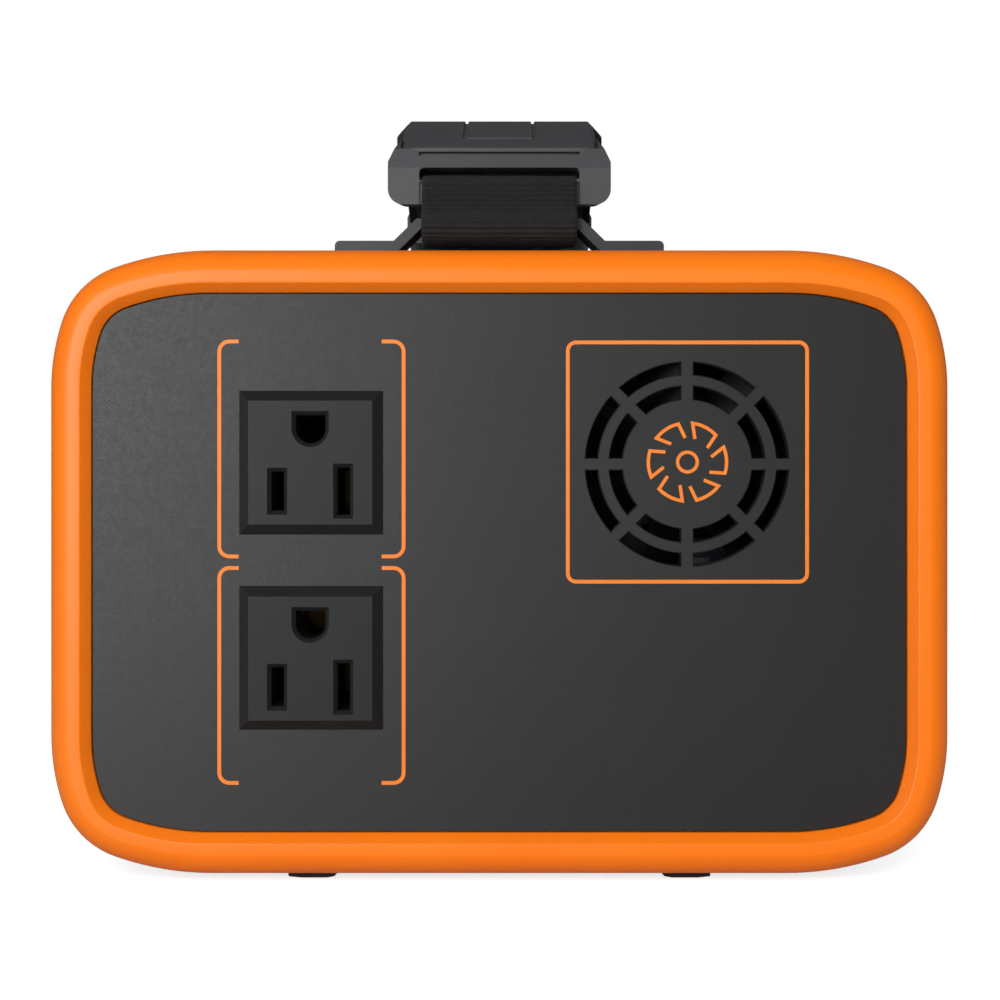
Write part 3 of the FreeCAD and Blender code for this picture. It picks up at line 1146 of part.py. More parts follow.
def button(x, z, radius):
    """Button cap: crowned face, retaining flange behind the panel and a stem towards its switch."""
    face = HALF_DEPTH - PANEL_RECESS + BUTTON_PROUD
    cap = rod(radius, (x, PANEL_BACK_Y - BUTTON_FLANGE, z), (x, face, z))
    cap = cap.makeFillet(BUTTON_EDGE, edges_at(cap, lambda p: abs(p.y - face) < NEAR))
    flange_top = PANEL_BACK_Y - FIT_GAP
    flange = rod(radius + BUTTON_FLANGE, (x, flange_top - BUTTON_FLANGE, z), (x, flange_top, z))
    stem = rod(BUTTON_STEM, (x, switch_top_y() + BUTTON_TRAVEL + SOFT_GAP, z), (x, PANEL_BACK_Y, z))
    return fuse([cap, flange, stem])


def switch_top_y():
    """Outer end of the switch plungers."""
    return CONTROL_BOARD_Y + SWITCH_HEIGHT + SWITCH_PLUNGER


def button_switches():
    """One tactile switch behind each button."""
    pieces = []
    for x, z, _radius in BUTTONS.values():
        base = box(x - SWITCH_HALF, x + SWITCH_HALF, CONTROL_BOARD_Y, CONTROL_BOARD_Y + SWITCH_HEIGHT,
                   z - SWITCH_HALF, z + SWITCH_HALF)
        plunger = rod(SWITCH_HALF / 2, (x, CONTROL_BOARD_Y, z), (x, switch_top_y(), z))
        pieces.append(fuse([base, plunger]))
    return group(pieces)


def lamp_lens():
    """Frosted lens of the lamp, flush with the panel, with a flange behind it."""
    face = HALF_DEPTH - PANEL_RECESS
    plug = window(LAMP_CENTRE, LAMP_SIZE, PANEL_BACK_Y - LENS_FLANGE, face)
    flange = window(LAMP_CENTRE, LAMP_SIZE, PANEL_BACK_Y - LENS_FLANGE, PANEL_BACK_Y, LENS_FLANGE)
    return fuse([plug, flange])


def lamp_reflector():
    """White trough between the lens and the board."""
    y0, y1 = CONTROL_BOARD_Y, PANEL_BACK_Y - LENS_FLANGE
    return window(LAMP_CENTRE, LAMP_SIZE, y0, y1, REFLECTOR_WALL).cut(window(LAMP_CENTRE, LAMP_SIZE, y0, y1))


def lamp_leds():
    """Row of light-emitting diodes on the board."""
    x, z = LAMP_CENTRE
    pitch = LAMP_SIZE[1] / LED_COUNT
    return group([box(x - LED_HALF, x + LED_HALF, CONTROL_BOARD_Y, CONTROL_BOARD_Y + LED_HEIGHT,
                      z + (i - (LED_COUNT - 1) / 2) * pitch - LED_HALF,
                      z + (i - (LED_COUNT - 1) / 2) * pitch + LED_HALF) for i in range(LED_COUNT)])


# ---- handle -------------------------------------------------------------------------------------
def bracket_screw_places():
    """Screws of both brackets as (x, y)."""
    return [(sx * BRACKET_SCREW_X, sy * BRACKET_Y) for sx in (-1, 1) for sy in (-1, 1)]


def front_bracket():
    """Bent steel strip: two flanges, two sloping legs and the bar that carries the webbing."""
    slope = math.atan2(BRACKET_RISE, BRACKET_KNEE_X - BRACKET_BAR_X)
    shift = BRACKET_THICKNESS * math.tan(slope / 2)
    half = [(BRACKET_HALF_SPAN, FLANGE_Z), (BRACKET_HALF_SPAN, FLANGE_TOP_Z), (BRACKET_KNEE_X, FLANGE_TOP_Z),
            (BRACKET_BAR_X, BAR_TOP_Z)]
    under = [(BRACKET_BAR_X - shift, BAR_TOP_Z - BRACKET_THICKNESS), (BRACKET_KNEE_X - shift, FLANGE_Z)]
    right = half + [(-x, z) for x, z in reversed(half)]
    left = [(-x, z) for x, z in reversed(under)] + under
    strip = prism_y(right + left, -BRACKET_Y - BRACKET_WIDTH / 2, -BRACKET_Y + BRACKET_WIDTH / 2)
    tops = edges_at(strip, lambda p: abs(p.z - FLANGE_TOP_Z) < NEAR
                    and abs(abs(p.x) - BRACKET_HALF_SPAN) < NEAR)
    strip = strip.makeFillet(BRACKET_EDGE, tops)
    holes = [place(screw_void(), (x, y, FLANGE_TOP_Z), (0, 0, -1))
             for x, y in bracket_screw_places() if y < 0]
    return strip.cut(group(holes))


def bracket_screws():
    """Four countersunk screws through the flanges into the top of the case."""
    one = screw(SCREW_RADIUS, BRACKET_SCREW_LENGTH, SCREW_HEAD_RADIUS, SCREW_HEAD_HEIGHT, countersunk=True)
    return group([place(one, (x, y, FLANGE_TOP_Z), (0, 0, -1)) for x, y in bracket_screw_places()])


def rounded_tube(y, z, half_y, half_z, radius):
    """Block across the handle with rounded long edges, about a point in the side view."""
    block = box(-WEBBING_WIDTH / 2, WEBBING_WIDTH / 2, y - half_y, y + half_y, z - half_z, z + half_z)
    corners = edges_at(block, lambda p: abs(abs(p.y - y) - half_y) < NEAR
                       and abs(abs(p.z - z) - half_z) < NEAR)
    return block.makeFillet(radius, corners)


def front_webbing():
    """Webbing: loop round the bracket bar, riser in front of the grip, loop round the pin inside it."""
    bar_z = BAR_TOP_Z - BRACKET_THICKNESS / 2
    half_y = BRACKET_WIDTH / 2 + SOFT_GAP
    half_z = BRACKET_THICKNESS / 2 + SOFT_GAP
    t = WEBBING_THICKNESS
    loop = rounded_tube(-BRACKET_Y, bar_z, half_y + t, half_z + t, WEBBING_FOLD + t)
    loop = loop.cut(rounded_tube(-BRACKET_Y, bar_z, half_y, half_z, WEBBING_FOLD))
    y = -GRIP_HALF_LENGTH - SOFT_GAP - t / 2
    x = WEBBING_WIDTH / 2
    turn = WEBBING_TURN
    start = Vector(0, y, bar_z + half_z + t / 2)
    low = Vector(0, y, PIN_Z - turn)
    high = Vector(0, y + turn, PIN_Z)
    middle = Vector(0, y + turn - turn * math.cos(math.pi / 4), PIN_Z - turn + turn * math.sin(math.pi / 4))
    end = Vector(0, -WEBBING_PIN_Y - WEBBING_PIN_RADIUS - SOFT_GAP - t / 2, PIN_Z)
    path = Part.Wire([Part.makeLine(start, low), Part.Arc(low, middle, high).toShape(),
                      Part.makeLine(high, end)])
    section = Part.makePolygon([Vector(sx * x, y + sy * t / 2, start.z)
                                for sx, sy in ((-1, -1), (1, -1), (1, 1), (-1, 1), (-1, -1))])
    riser = path.makePipe(Part.Face(section))
    ring_outer = WEBBING_PIN_RADIUS + SOFT_GAP + t
    ends = ((-x, -WEBBING_PIN_Y, PIN_Z), (x, -WEBBING_PIN_Y, PIN_Z))
    eye = rod(ring_outer, *ends)
    return fuse([loop, riser, eye]).cut(rod(WEBBING_PIN_RADIUS + SOFT_GAP, *ends))


def grip_arc(radius, half_width, half_length):
    """Solid under a cylinder about the grip's centre line, limited to the grip's length and width."""
    body = rod(radius, (-half_width, 0, GRIP_CENTRE_Z), (half_width, 0, GRIP_CENTRE_Z))
    return body.common(box(-half_width, half_width, -half_length, half_length, GRIP_CENTRE_Z, GRIP_TOP_Z))


def grip_band(inner, outer, half_width, half_length):
    """Curved bar between two radii."""
    whole = grip_arc(outer, half_width, half_length)
    return whole.cut(grip_arc(inner, half_width + OVERSHOOT, half_length + OVERSHOOT))


def grip_core():
    """Curved spine that joins the two end frames."""
    core = grip_band(CORE_UNDER_RADIUS, COVER_UNDER_RADIUS, CORE_HALF_WIDTH, GRIP_CORE_HALF_LENGTH)
    pilots = [rod(SMALL_SCREW_RADIUS, (x, y, z), (x, y, z + GRIP_SCREW_LENGTH))
              for x, y, z in grip_screw_seats()]
    return core.cut(group(pilots))


def grip_screw_seats():
    """Underside of the six screw heads as (x, y, z)."""
    base_z = GRIP_CENTRE_Z + math.sqrt(BASE_UNDER_RADIUS ** 2 - GRIP_BASE_SCREW_Y ** 2)
    seats = [(0.0, sy * GRIP_BASE_SCREW_Y, base_z + SMALL_HEAD_HEIGHT) for sy in (-1, 1)]
    seats += [(sx * GRIP_SCREW_X, sy * GRIP_END_SCREW_Y, FRAME_BOTTOM_Z + FRAME_SEAT)
              for sx in (-1, 1) for sy in (-1, 1)]
    return seats


def grip_cover():
    """Top cover: an upside-down channel over the core, with two grooves and a cross line."""
    outer = grip_arc(GRIP_RADIUS, GRIP_COVER_HALF_WIDTH, GRIP_COVER_HALF_LENGTH)
    long_tops = edges_at(outer, lambda p: abs(abs(p.x) - GRIP_COVER_HALF_WIDTH) < NEAR
                         and abs(math.hypot(p.y, p.z - GRIP_CENTRE_Z) - GRIP_RADIUS) < NEAR)
    outer = outer.makeChamfer(COVER_CHAMFER, long_tops)
    past_end = GRIP_COVER_HALF_LENGTH + OVERSHOOT
    inside = grip_arc(COVER_UNDER_RADIUS, CORE_HALF_WIDTH, past_end)
    below = grip_arc(CORE_UNDER_RADIUS, GRIP_COVER_HALF_WIDTH + OVERSHOOT, past_end)
    under = grip_arc(COVER_UNDER_RADIUS, FRAME_HALF_WIDTH, GRIP_HALF_LENGTH)
    seats = [under.common(box(-FRAME_HALF_WIDTH, FRAME_HALF_WIDTH,
                              *sorted((sy * FRAME_INNER_Y, sy * GRIP_HALF_LENGTH)), 0, GRIP_TOP_Z))
             for sy in (-1, 1)]
    ring = grip_band(GRIP_RADIUS - GRIP_GROOVE_DEPTH, GRIP_RADIUS + OVERSHOOT, GRIP_COVER_HALF_WIDTH,
                     GRIP_COVER_HALF_LENGTH)
    top, end = GRIP_TOP_Z + OVERSHOOT, TONGUE_HALF_LENGTH
    grooves = [ring.common(box(x - GRIP_GROOVE_WIDTH / 2, x + GRIP_GROOVE_WIDTH / 2, -end, end, 0, top))
               for x in GRIP_TONGUE]
    grooves += [ring.common(box(*GRIP_TONGUE, *sorted((sy * end, sy * (end + GRIP_CROSS_LINE))), 0, top))
                for sy in (-1, 1)]
    back = GRIP_COVER_HALF_LENGTH - COVER_LINE_DEPTH
    lines = [box(-STRIP_HALF_WIDTH, STRIP_HALF_WIDTH, *sorted((sy * back, sy * past_end)),
                 FRAME_FACE_TOP_Z, FRAME_FACE_TOP_Z + COVER_LINE) for sy in (-1, 1)]
    return outer.cut(inside).cut(below).cut(group(seats)).cut(group(grooves)).cut(group(lines))


def grip_base():
    """Curved cover under the core."""
    band = grip_band(BASE_UNDER_RADIUS, CORE_UNDER_RADIUS, GRIP_COVER_HALF_WIDTH, FRAME_INNER_Y)
    cuts = []
    for x, y, z in grip_screw_seats()[:2]:
        cuts.append(rod(SMALL_SCREW_RADIUS + SMALL_SCREW_CLEARANCE, (x, y, z), (x, y, z + GRIP_SCREW_LENGTH)))
        cuts.append(rod(SMALL_HEAD_RADIUS + SMALL_SCREW_CLEARANCE,
                        (x, y, z - GRIP_BASE_SCREW_WELL), (x, y, z)))
    return band.cut(group(cuts))


def grip_pad(side):
    """Soft ribbed pad on one flank of the grip."""
    inner = GRIP_COVER_HALF_WIDTH
    band = grip_band(BASE_UNDER_RADIUS, GRIP_RADIUS - COVER_CHAMFER, inner + PAD_BULGE, PAD_HALF_LENGTH)
    flank = band.common(box(inner, inner + PAD_BULGE, -PAD_HALF_LENGTH, PAD_HALF_LENGTH, 0, GRIP_TOP_Z))
    pitch = 2 * PAD_HALF_LENGTH / (PAD_RIBS + 1)
    for index in range(PAD_RIBS):
        y = -PAD_HALF_LENGTH + (index + 1) * pitch
        angle = math.degrees(math.asin(y / GRIP_RADIUS))
        rib = box(inner + PAD_BULGE - PAD_RIB_DEPTH, inner + PAD_BULGE + OVERSHOOT,
                  -PAD_RIB_HALF, PAD_RIB_HALF, BASE_UNDER_RADIUS - OVERSHOOT, GRIP_RADIUS)
        rib.rotate(Vector(0, 0, 0), X_AXIS, -angle)
        rib.translate(Vector(0, 0, GRIP_CENTRE_Z))
        flank = flank.cut(rib)
    return flank if side > 0 else mirrored(flank, X_AXIS)


def front_end_frame():
    """End frame of the grip: slot for the webbing, pocket behind it, seat for core and cover."""
    y0, y1 = -GRIP_HALF_LENGTH, -FRAME_INNER_Y
    block = prism_x([(y0, FRAME_BOTTOM_Z), (y1, FRAME_BOTTOM_Z + FRAME_RISE), (y1, GRIP_TOP_Z),
                     (y0, GRIP_TOP_Z)], -FRAME_HALF_WIDTH, FRAME_HALF_WIDTH)
    lower = edges_at(block, lambda p: abs(abs(p.x) - FRAME_HALF_WIDTH) < NEAR
                     and p.z < FRAME_BOTTOM_Z + FRAME_RISE + NEAR)
    block = block.makeFillet(FRAME_CORNER, lower)
    block = block.common(grip_arc(GRIP_RADIUS, FRAME_HALF_WIDTH, GRIP_HALF_LENGTH))
    wide, before = FRAME_HALF_WIDTH + OVERSHOOT, y0 - OVERSHOOT
    ears = [prism_y([(sx * FRAME_HALF_WIDTH, FRAME_EAR_Z), (sx * wide, FRAME_EAR_Z), (sx * wide, GRIP_TOP_Z),
                     (sx * GRIP_COVER_HALF_WIDTH, GRIP_TOP_Z),
                     (sx * GRIP_COVER_HALF_WIDTH, GRIP_TOP_Z - FRAME_SHOULDER_DROP)], y0, y1)
            for sx in (-1, 1)]
    cover_room = grip_band(COVER_UNDER_RADIUS, GRIP_RADIUS + OVERSHOOT, GRIP_COVER_HALF_WIDTH,
                           GRIP_COVER_HALF_LENGTH + FIT_GAP)
    lean = prism_x([(before, SLOT_HIGH_Z), (y0, SLOT_HIGH_Z), (y0 + FACE_LEAN, GRIP_TOP_Z - FACE_LEAN_DROP),
                    (before, GRIP_TOP_Z)], -wide, wide)
    strip = prism_y([(-STRIP_HALF_WIDTH, FRAME_FACE_TOP_Z), (STRIP_HALF_WIDTH, FRAME_FACE_TOP_Z),
                     (STRIP_HALF_WIDTH + STRIP_POINT, GRIP_TOP_Z),
                     (-STRIP_HALF_WIDTH - STRIP_POINT, GRIP_TOP_Z)],
                    before, -GRIP_COVER_HALF_LENGTH - FIT_GAP)
    core_room = grip_band(CORE_UNDER_RADIUS, COVER_UNDER_RADIUS, CORE_HALF_WIDTH, GRIP_CORE_HALF_LENGTH)
    slot = box(-SLOT_HALF_WIDTH, SLOT_HALF_WIDTH, y0, -WEBBING_PIN_Y, SLOT_LOW_Z, SLOT_HIGH_Z)
    rounds = edges_at(slot, lambda p: abs(abs(p.x) - SLOT_HALF_WIDTH) < NEAR
                      and min(abs(p.z - SLOT_LOW_Z), abs(p.z - SLOT_HIGH_Z)) < NEAR)
    slot = slot.makeFillet(SLOT_ROUND, rounds)
    pocket = rod(POCKET_RADIUS, (-SLOT_HALF_WIDTH, -WEBBING_PIN_Y, PIN_Z),
                 (SLOT_HALF_WIDTH, -WEBBING_PIN_Y, PIN_Z))
    pin = rod(WEBBING_PIN_RADIUS, (-PIN_HALF_LENGTH, -WEBBING_PIN_Y, PIN_Z),
              (PIN_HALF_LENGTH, -WEBBING_PIN_Y, PIN_Z))
    lip = box(-SLOT_HALF_WIDTH, SLOT_HALF_WIDTH, y0, y0 + LIP_NOTCH, FRAME_BOTTOM_Z, SLOT_LOW_Z)
    body = block.cut(group(ears)).cut(cover_room).cut(core_room)
    for cut in (lean, strip, slot, pocket, pin, lip):
        body = body.cut(cut)
    screws = []
    for x, y, z in grip_screw_seats()[2:]:
        screws.append(rod(SMALL_SCREW_RADIUS + SMALL_SCREW_CLEARANCE,
                          (x, y, z), (x, y, z + GRIP_SCREW_LENGTH)))
        screws.append(rod(SMALL_HEAD_RADIUS + SMALL_SCREW_CLEARANCE, (x, y, 0), (x, y, z)))
    return body.cut(group(screws))


def webbing_pins():
    """Steel pins inside the end frames that the webbing loops round."""
    return group([rod(WEBBING_PIN_RADIUS, (-PIN_HALF_LENGTH, y, PIN_Z), (PIN_HALF_LENGTH, y, PIN_Z))
                  for y in (-WEBBING_PIN_Y, WEBBING_PIN_Y)])


def grip_screws():
    """Two screws through the base and two through each end frame, all into the core."""
    one = screw(SMALL_SCREW_RADIUS, GRIP_SCREW_LENGTH, SMALL_HEAD_RADIUS, SMALL_HEAD_HEIGHT)
    return group([place(one, (x, y, z - SMALL_HEAD_HEIGHT), (0, 0, 1)) for x, y, z in grip_screw_seats()])


# ---- leads --------------------------------------------------------------------------------------


def terminal_places():
    """Places of the three tails from a receptacle's centre as (x, z)."""
    (hot, _, _), (neutral, _, _) = blade_places()
    return ((hot, -BLADE_DROP), (0.0, GROUND_RISE), (neutral, -BLADE_DROP))


def ac_leads():
    """Output leads from the receptacles down to the terminal block of the inverter."""
    tail_y = -HALF_DEPTH + PANEL_RECESS + RECEPTACLE_LENGTH + TAIL_LENGTH
    land_y = sum(TERMINAL_Y) / 2
    land_z = TERMINAL_TOP_Z
    runs = []
    upper = receptacle_centres()[0]
    for (x, z), back, landings in zip(receptacle_centres(), AC_LEAD_BACK, AC_LEAD_LANDINGS):
        for (dx, dz), from_edge in zip(terminal_places(), landings):
            land_x = POWER_LEFT + from_edge
            points = [(x + dx, tail_y, z + dz), (x + dx, tail_y + back, z + dz)]
            if (x, z) == upper:
                points.append((land_x, tail_y + back, land_z + LEAD_DROP * 3))
            points += [(land_x, land_y, land_z + LEAD_DROP), (land_x, land_y, land_z)]
            runs.append(lead(points, LEAD_RADIUS))
    return group(runs)


def battery_leads():
    """Two leads from the plug of the battery board over the edge of the pack to the inverter."""
    plug_z = BATTERY_BOARD_Z + BOARD_THICKNESS + BATTERY_PLUG_HEIGHT
    runs = []
    for from_middle, rise, from_edge in BATTERY_LEADS:
        x, high, land_x = BATTERY_BOARD_X + from_middle, plug_z + rise, POWER_LEFT + from_edge
        runs.append(lead([(x, BATTERY_LEAD_Y, plug_z), (x, BATTERY_LEAD_Y, high),
                          (BATTERY_LEAD_EDGE_X, BATTERY_LEAD_Y, high),
                          (land_x, BATTERY_LEAD_LAND_Y, BATTERY_LEAD_BEND_Z),
                          (land_x, BATTERY_LEAD_LAND_Y, POWER_TOP_Z)], LEAD_RADIUS))
    return group(runs)


def fan_lead():
    """Lead from the fan motor over the pack to the control board."""
    start, end = -PANEL_BACK_Y + FAN_THICKNESS, CONTROL_BOARD_Y - BOARD_THICKNESS
    x, high = VENT_X + FAN_LEAD_X, VENT_Z + FAN_LEAD_RISE
    return lead([(x, start, VENT_Z), (x, start + FAN_LEAD_STRAIGHT, VENT_Z),
                 (x, end - FAN_LEAD_STRAIGHT, high), (x, end, high)], LEAD_RADIUS)


# ---- everything ---------------------------------------------------------------------------------
def pieces():
    """Every node of the object by name."""
    upper, lower = receptacle_centres()
    found = {
        "ac_bezel": bezel(), "dc_bezel": mirrored(bezel()),
        "ac_panel": ac_panel(), "dc_panel": dc_panel(),
        "upper_shell": upper_shell(), "lower_shell": lower_shell(),
        "feet": feet(), "shell_screws": shell_screws(), "bezel_screws": bezel_screws(),
        "upper_receptacle": receptacle(*upper), "lower_receptacle": receptacle(*lower),
        "upper_contacts": contacts(*upper), "lower_contacts": contacts(*lower),
        "fan_frame": fan_frame(), "fan_rotor": fan_rotor(), "fan_screws": fan_screws(),
        "battery_cells": battery_cells(), "cell_holders": cell_holders(), "cell_links": cell_links(),
        "battery_board": battery_board(), "battery_strap": battery_strap(),
        "battery_screws": battery_screws(),
        "inverter_board": inverter_board(), "inverter_transformer": inverter_transformer(),
        "heatsinks": heatsinks(), "power_transistors": power_transistors(),
        "bulk_capacitors": bulk_capacitors(), "board_screws": board_screws(),
        "control_board": control_board(), "control_screws": control_screws(),
        "display_module": display_module(), "display_window": display_window(),
        "usb_a_ports": usb_a_ports(), "usb_c_port": usb_c_port(), "dc_jacks": dc_jacks(),
        "button_switches": button_switches(),
        "lamp_lens": lamp_lens(), "lamp_reflector": lamp_reflector(), "lamp_leds": lamp_leds(),
        "front_bracket": front_bracket(), "rear_bracket": mirrored(front_bracket()),
        "bracket_screws": bracket_screws(),
        "front_webbing": front_webbing(), "rear_webbing": mirrored(front_webbing()),
        "grip_core": grip_core(), "grip_cover": grip_cover(), "grip_base": grip_base(),
        "left_grip_pad": grip_pad(-1), "right_grip_pad": grip_pad(1),
        "front_end_frame": front_end_frame(), "rear_end_frame": mirrored(front_end_frame()),
        "webbing_pins": webbing_pins(), "grip_screws": grip_screws(),
        "ac_leads": ac_leads(), "battery_leads": battery_leads(), "fan_lead": fan_lead(),
    }
    for name, (x, z, radius) in BUTTONS.items():
        found[name] = button(x, z, radius)
    return found


def main():
    """Write one STEP file per node."""
    os.makedirs("parts", exist_ok=True)
    for name, shape in pieces().items():
        shape.exportStep(os.path.join("parts", name + ".step"))
        box_ = shape.BoundBox
        print(f"{name}: {len(shape.Solids)} solids, {shape.Volume:.0f} mm3, valid {shape.isValid()}, "
              f"Z {box_.ZMin:.1f} to {box_.ZMax:.1f}")


main()
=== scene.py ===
import logging
import math
from dataclasses import dataclass, field
from enum import Enum
from functools import lru_cache
from typing import Sequence

import bmesh
import bpy
from bpy.types import ID, Material, Mesh, Node, NodeSocket, NodeTree, Object
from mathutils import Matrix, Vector, noise


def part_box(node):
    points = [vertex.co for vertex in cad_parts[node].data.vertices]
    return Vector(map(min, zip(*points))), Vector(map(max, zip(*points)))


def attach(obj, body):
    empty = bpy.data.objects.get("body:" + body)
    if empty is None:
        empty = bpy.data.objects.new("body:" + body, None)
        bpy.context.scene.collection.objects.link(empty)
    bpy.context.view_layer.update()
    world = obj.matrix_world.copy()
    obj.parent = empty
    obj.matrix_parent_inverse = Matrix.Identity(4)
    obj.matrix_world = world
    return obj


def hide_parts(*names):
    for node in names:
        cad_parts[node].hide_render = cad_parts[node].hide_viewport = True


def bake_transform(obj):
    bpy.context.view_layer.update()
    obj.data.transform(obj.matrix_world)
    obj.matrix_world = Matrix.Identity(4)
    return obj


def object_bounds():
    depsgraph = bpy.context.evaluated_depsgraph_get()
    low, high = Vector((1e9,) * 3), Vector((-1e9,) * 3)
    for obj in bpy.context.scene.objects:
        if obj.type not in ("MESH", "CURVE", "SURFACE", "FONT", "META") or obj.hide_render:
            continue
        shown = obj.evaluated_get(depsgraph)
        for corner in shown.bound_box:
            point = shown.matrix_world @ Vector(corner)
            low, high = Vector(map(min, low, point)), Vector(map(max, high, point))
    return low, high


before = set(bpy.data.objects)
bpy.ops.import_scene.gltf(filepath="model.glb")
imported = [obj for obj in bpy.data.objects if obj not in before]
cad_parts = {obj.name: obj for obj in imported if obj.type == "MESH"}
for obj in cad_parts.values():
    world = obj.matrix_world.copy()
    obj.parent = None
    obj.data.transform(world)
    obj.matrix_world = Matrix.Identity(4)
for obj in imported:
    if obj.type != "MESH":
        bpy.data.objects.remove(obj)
CAD_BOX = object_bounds()

logging.basicConfig(level=logging.INFO, format="%(message)s")
log = logging.getLogger("power_station")

MM = 0.001                       # the scene is in metres, sizes are written in millimetres
Point2 = tuple[float, float]
Colour = tuple[float, float, float, float]


class Body(Enum):
    """The moving bodies that pieces ride on."""

    CASE = "case"
    HANDLE = "handle"
    POWER_CAP = "power_button_cap"
    AC_CAP = "ac_button_cap"
    DC_CAP = "dc_button_cap"
    LAMP_CAP = "lamp_button_cap"


class Face(Enum):
    """The two end faces of the case; the value is the sign of their outward direction along Y."""

    OUTLETS = -1
    CONTROLS = 1


# ---- small tools ----
def linear(code: str) -> Colour:
    """Turns an sRGB hex colour into the linear colour that shaders take.

    Args:
        code: six hex digits.

    Returns:
        Linear red, green, blue and an alpha of 1.
    """
    channels = [int(code[i:i + 2], 16) / 255 for i in (0, 2, 4)]
    return tuple(c / 12.92 if c <= 0.04045 else ((c + 0.055) / 1.055) ** 2.4 for c in channels) + (1.0,)


def add_node(tree: NodeTree, kind: str, settings: dict[str, object] | None = None,
             inputs: dict[str | int, object] | None = None) -> Node:
    """Adds one shader node with its settings, values and links.

    Args:
        tree: the node tree to add to.
        kind: the node's type name without its ShaderNode prefix.
        settings: node properties by name.
        inputs: values, or sockets to link from, by input name or number.

    Returns:
        The new node.
    """
    made = tree.nodes.new("ShaderNode" + kind)
    for name, value in (settings or {}).items():
        setattr(made, name, value)
    for name, value in (inputs or {}).items():
        if isinstance(value, NodeSocket):
            tree.links.new(value, made.inputs[name])
        else:
            made.inputs[name].default_value = value
    return made


def per_metre(size_mm: float) -> float:
    """Noise scale at which one feature is about this many millimetres across."""
    return 1 / (size_mm * MM)


# ---- finishes ----
@dataclass(frozen=True)
class Finish:
    """A surface as it is made: two close shades that drift into each other, and a fine relief.

    Each subclass draws the relief that its own way of making leaves.
    """

    name: str
    shade: str
    shade_far: str
    roughness: float
    ior: float = 1.5
    specular: float = 0.5
    metallic: float = 0.0
    drift_mm: float = 14.0
    grain_mm: float = 0.4
    relief_mm: float = 0.02
    roughness_spread: float = 0.08
    grain_share: float = 0.5                         # how much of the grain shows in the colour
    drift_range: tuple[float, float] = (0.45, 1.05)  # drift at which each of the two shades is pure

    def relief(self, tree: NodeTree, place: NodeSocket) -> NodeSocket:
        """Height of the surface texture, 0 to 1."""
        grain = add_node(tree, "TexNoise", inputs={
            "Vector": place, "Scale": per_metre(self.grain_mm), "Detail": 3.0, "Roughness": 0.6})
        return grain.outputs["Fac"]

    def colour(self, tree: NodeTree, place: NodeSocket,
               height: NodeSocket) -> NodeSocket:
        """Base colour: the two shades mixed by a slow drift and a little of the grain."""
        drift = add_node(tree, "TexNoise", inputs={
            "Vector": place, "Scale": per_metre(self.drift_mm), "Detail": 2.0})
        both = add_node(tree, "Math", {"operation": "MULTIPLY_ADD"}, {
            0: height, 1: self.grain_share, 2: drift.outputs["Fac"]})
        share = add_node(tree, "MapRange", inputs={
            "Value": both.outputs[0], "From Min": self.drift_range[0], "From Max": self.drift_range[1]})
        shades = add_node(tree, "Mix", {"data_type": "RGBA"}, {
            "Factor": share.outputs["Result"], 6: linear(self.shade), 7: linear(self.shade_far)})
        return shades.outputs[2]

    def finish_shader(self, tree: NodeTree, shader: Node) -> None:
        """Hook for what a subclass sets on the shader itself."""

    @lru_cache(maxsize=None)
    def material(self) -> Material:
        """Builds the material once.

        Returns:
            The material, shared by every piece with this finish.
        """
        made = bpy.data.materials.new(self.name)
        made.use_nodes = True
        tree = made.node_tree
        tree.nodes.clear()
        place = add_node(tree, "TexCoord").outputs["Object"]
        height = self.relief(tree, place)
        rough = add_node(tree, "MapRange", inputs={
            "Value": height, "To Min": self.roughness - self.roughness_spread,
            "To Max": self.roughness + self.roughness_spread})
        bump = add_node(tree, "Bump", inputs={
            "Strength": 1.0, "Distance": self.relief_mm * MM, "Height": height})
        shader = add_node(tree, "BsdfPrincipled", inputs={
            "Base Color": self.colour(tree, place, height), "Roughness": rough.outputs["Result"],
            "Metallic": self.metallic, "IOR": self.ior, "Specular IOR Level": self.specular,
            "Normal": bump.outputs["Normal"]})
        self.finish_shader(tree, shader)
        add_node(tree, "OutputMaterial", inputs={"Surface": shader.outputs["BSDF"]})
        return made


@dataclass(frozen=True)
class SparkErodedPlastic(Finish):
    """Plastic moulded against a spark-eroded tool: an even pitted grain that breaks up highlights."""

    def relief(self, tree: NodeTree, place: NodeSocket) -> NodeSocket:
        """Pits of the tool's texture over a softer waviness."""
        pits = add_node(tree, "TexVoronoi", {"feature": "SMOOTH_F1"}, {
            "Vector": place, "Scale": per_metre(self.grain_mm), "Smoothness": 0.8})
        soft = add_node(tree, "TexNoise", inputs={
            "Vector": place, "Scale": per_metre(self.grain_mm * 2.5), "Detail": 4.0})
        both = add_node(tree, "Math", {"operation": "MULTIPLY_ADD", "use_clamp": True}, {
            0: pits.outputs["Distance"], 1: 0.6, 2: soft.outputs["Fac"]})
        lowered = add_node(tree, "Math", {"operation": "SUBTRACT", "use_clamp": True}, {
            0: both.outputs[0], 1: 0.2})
        return lowered.outputs[0]


@dataclass(frozen=True)
class BrushedMetal(Finish):
    """Rolled, drawn or machined metal: fine scratches along one axis."""

    along: tuple[float, float, float] = (1.0, 1.0, 1.0)

    def relief(self, tree: NodeTree, place: NodeSocket) -> NodeSocket:
        """Noise stretched along the working direction."""
        stretch = add_node(tree, "Mapping", inputs={"Vector": place, "Scale": self.along})
        scratches = add_node(tree, "TexNoise", inputs={
            "Vector": stretch.outputs["Vector"], "Scale": per_metre(self.grain_mm), "Detail": 5.0,
            "Roughness": 0.7})
        return scratches.outputs["Fac"]


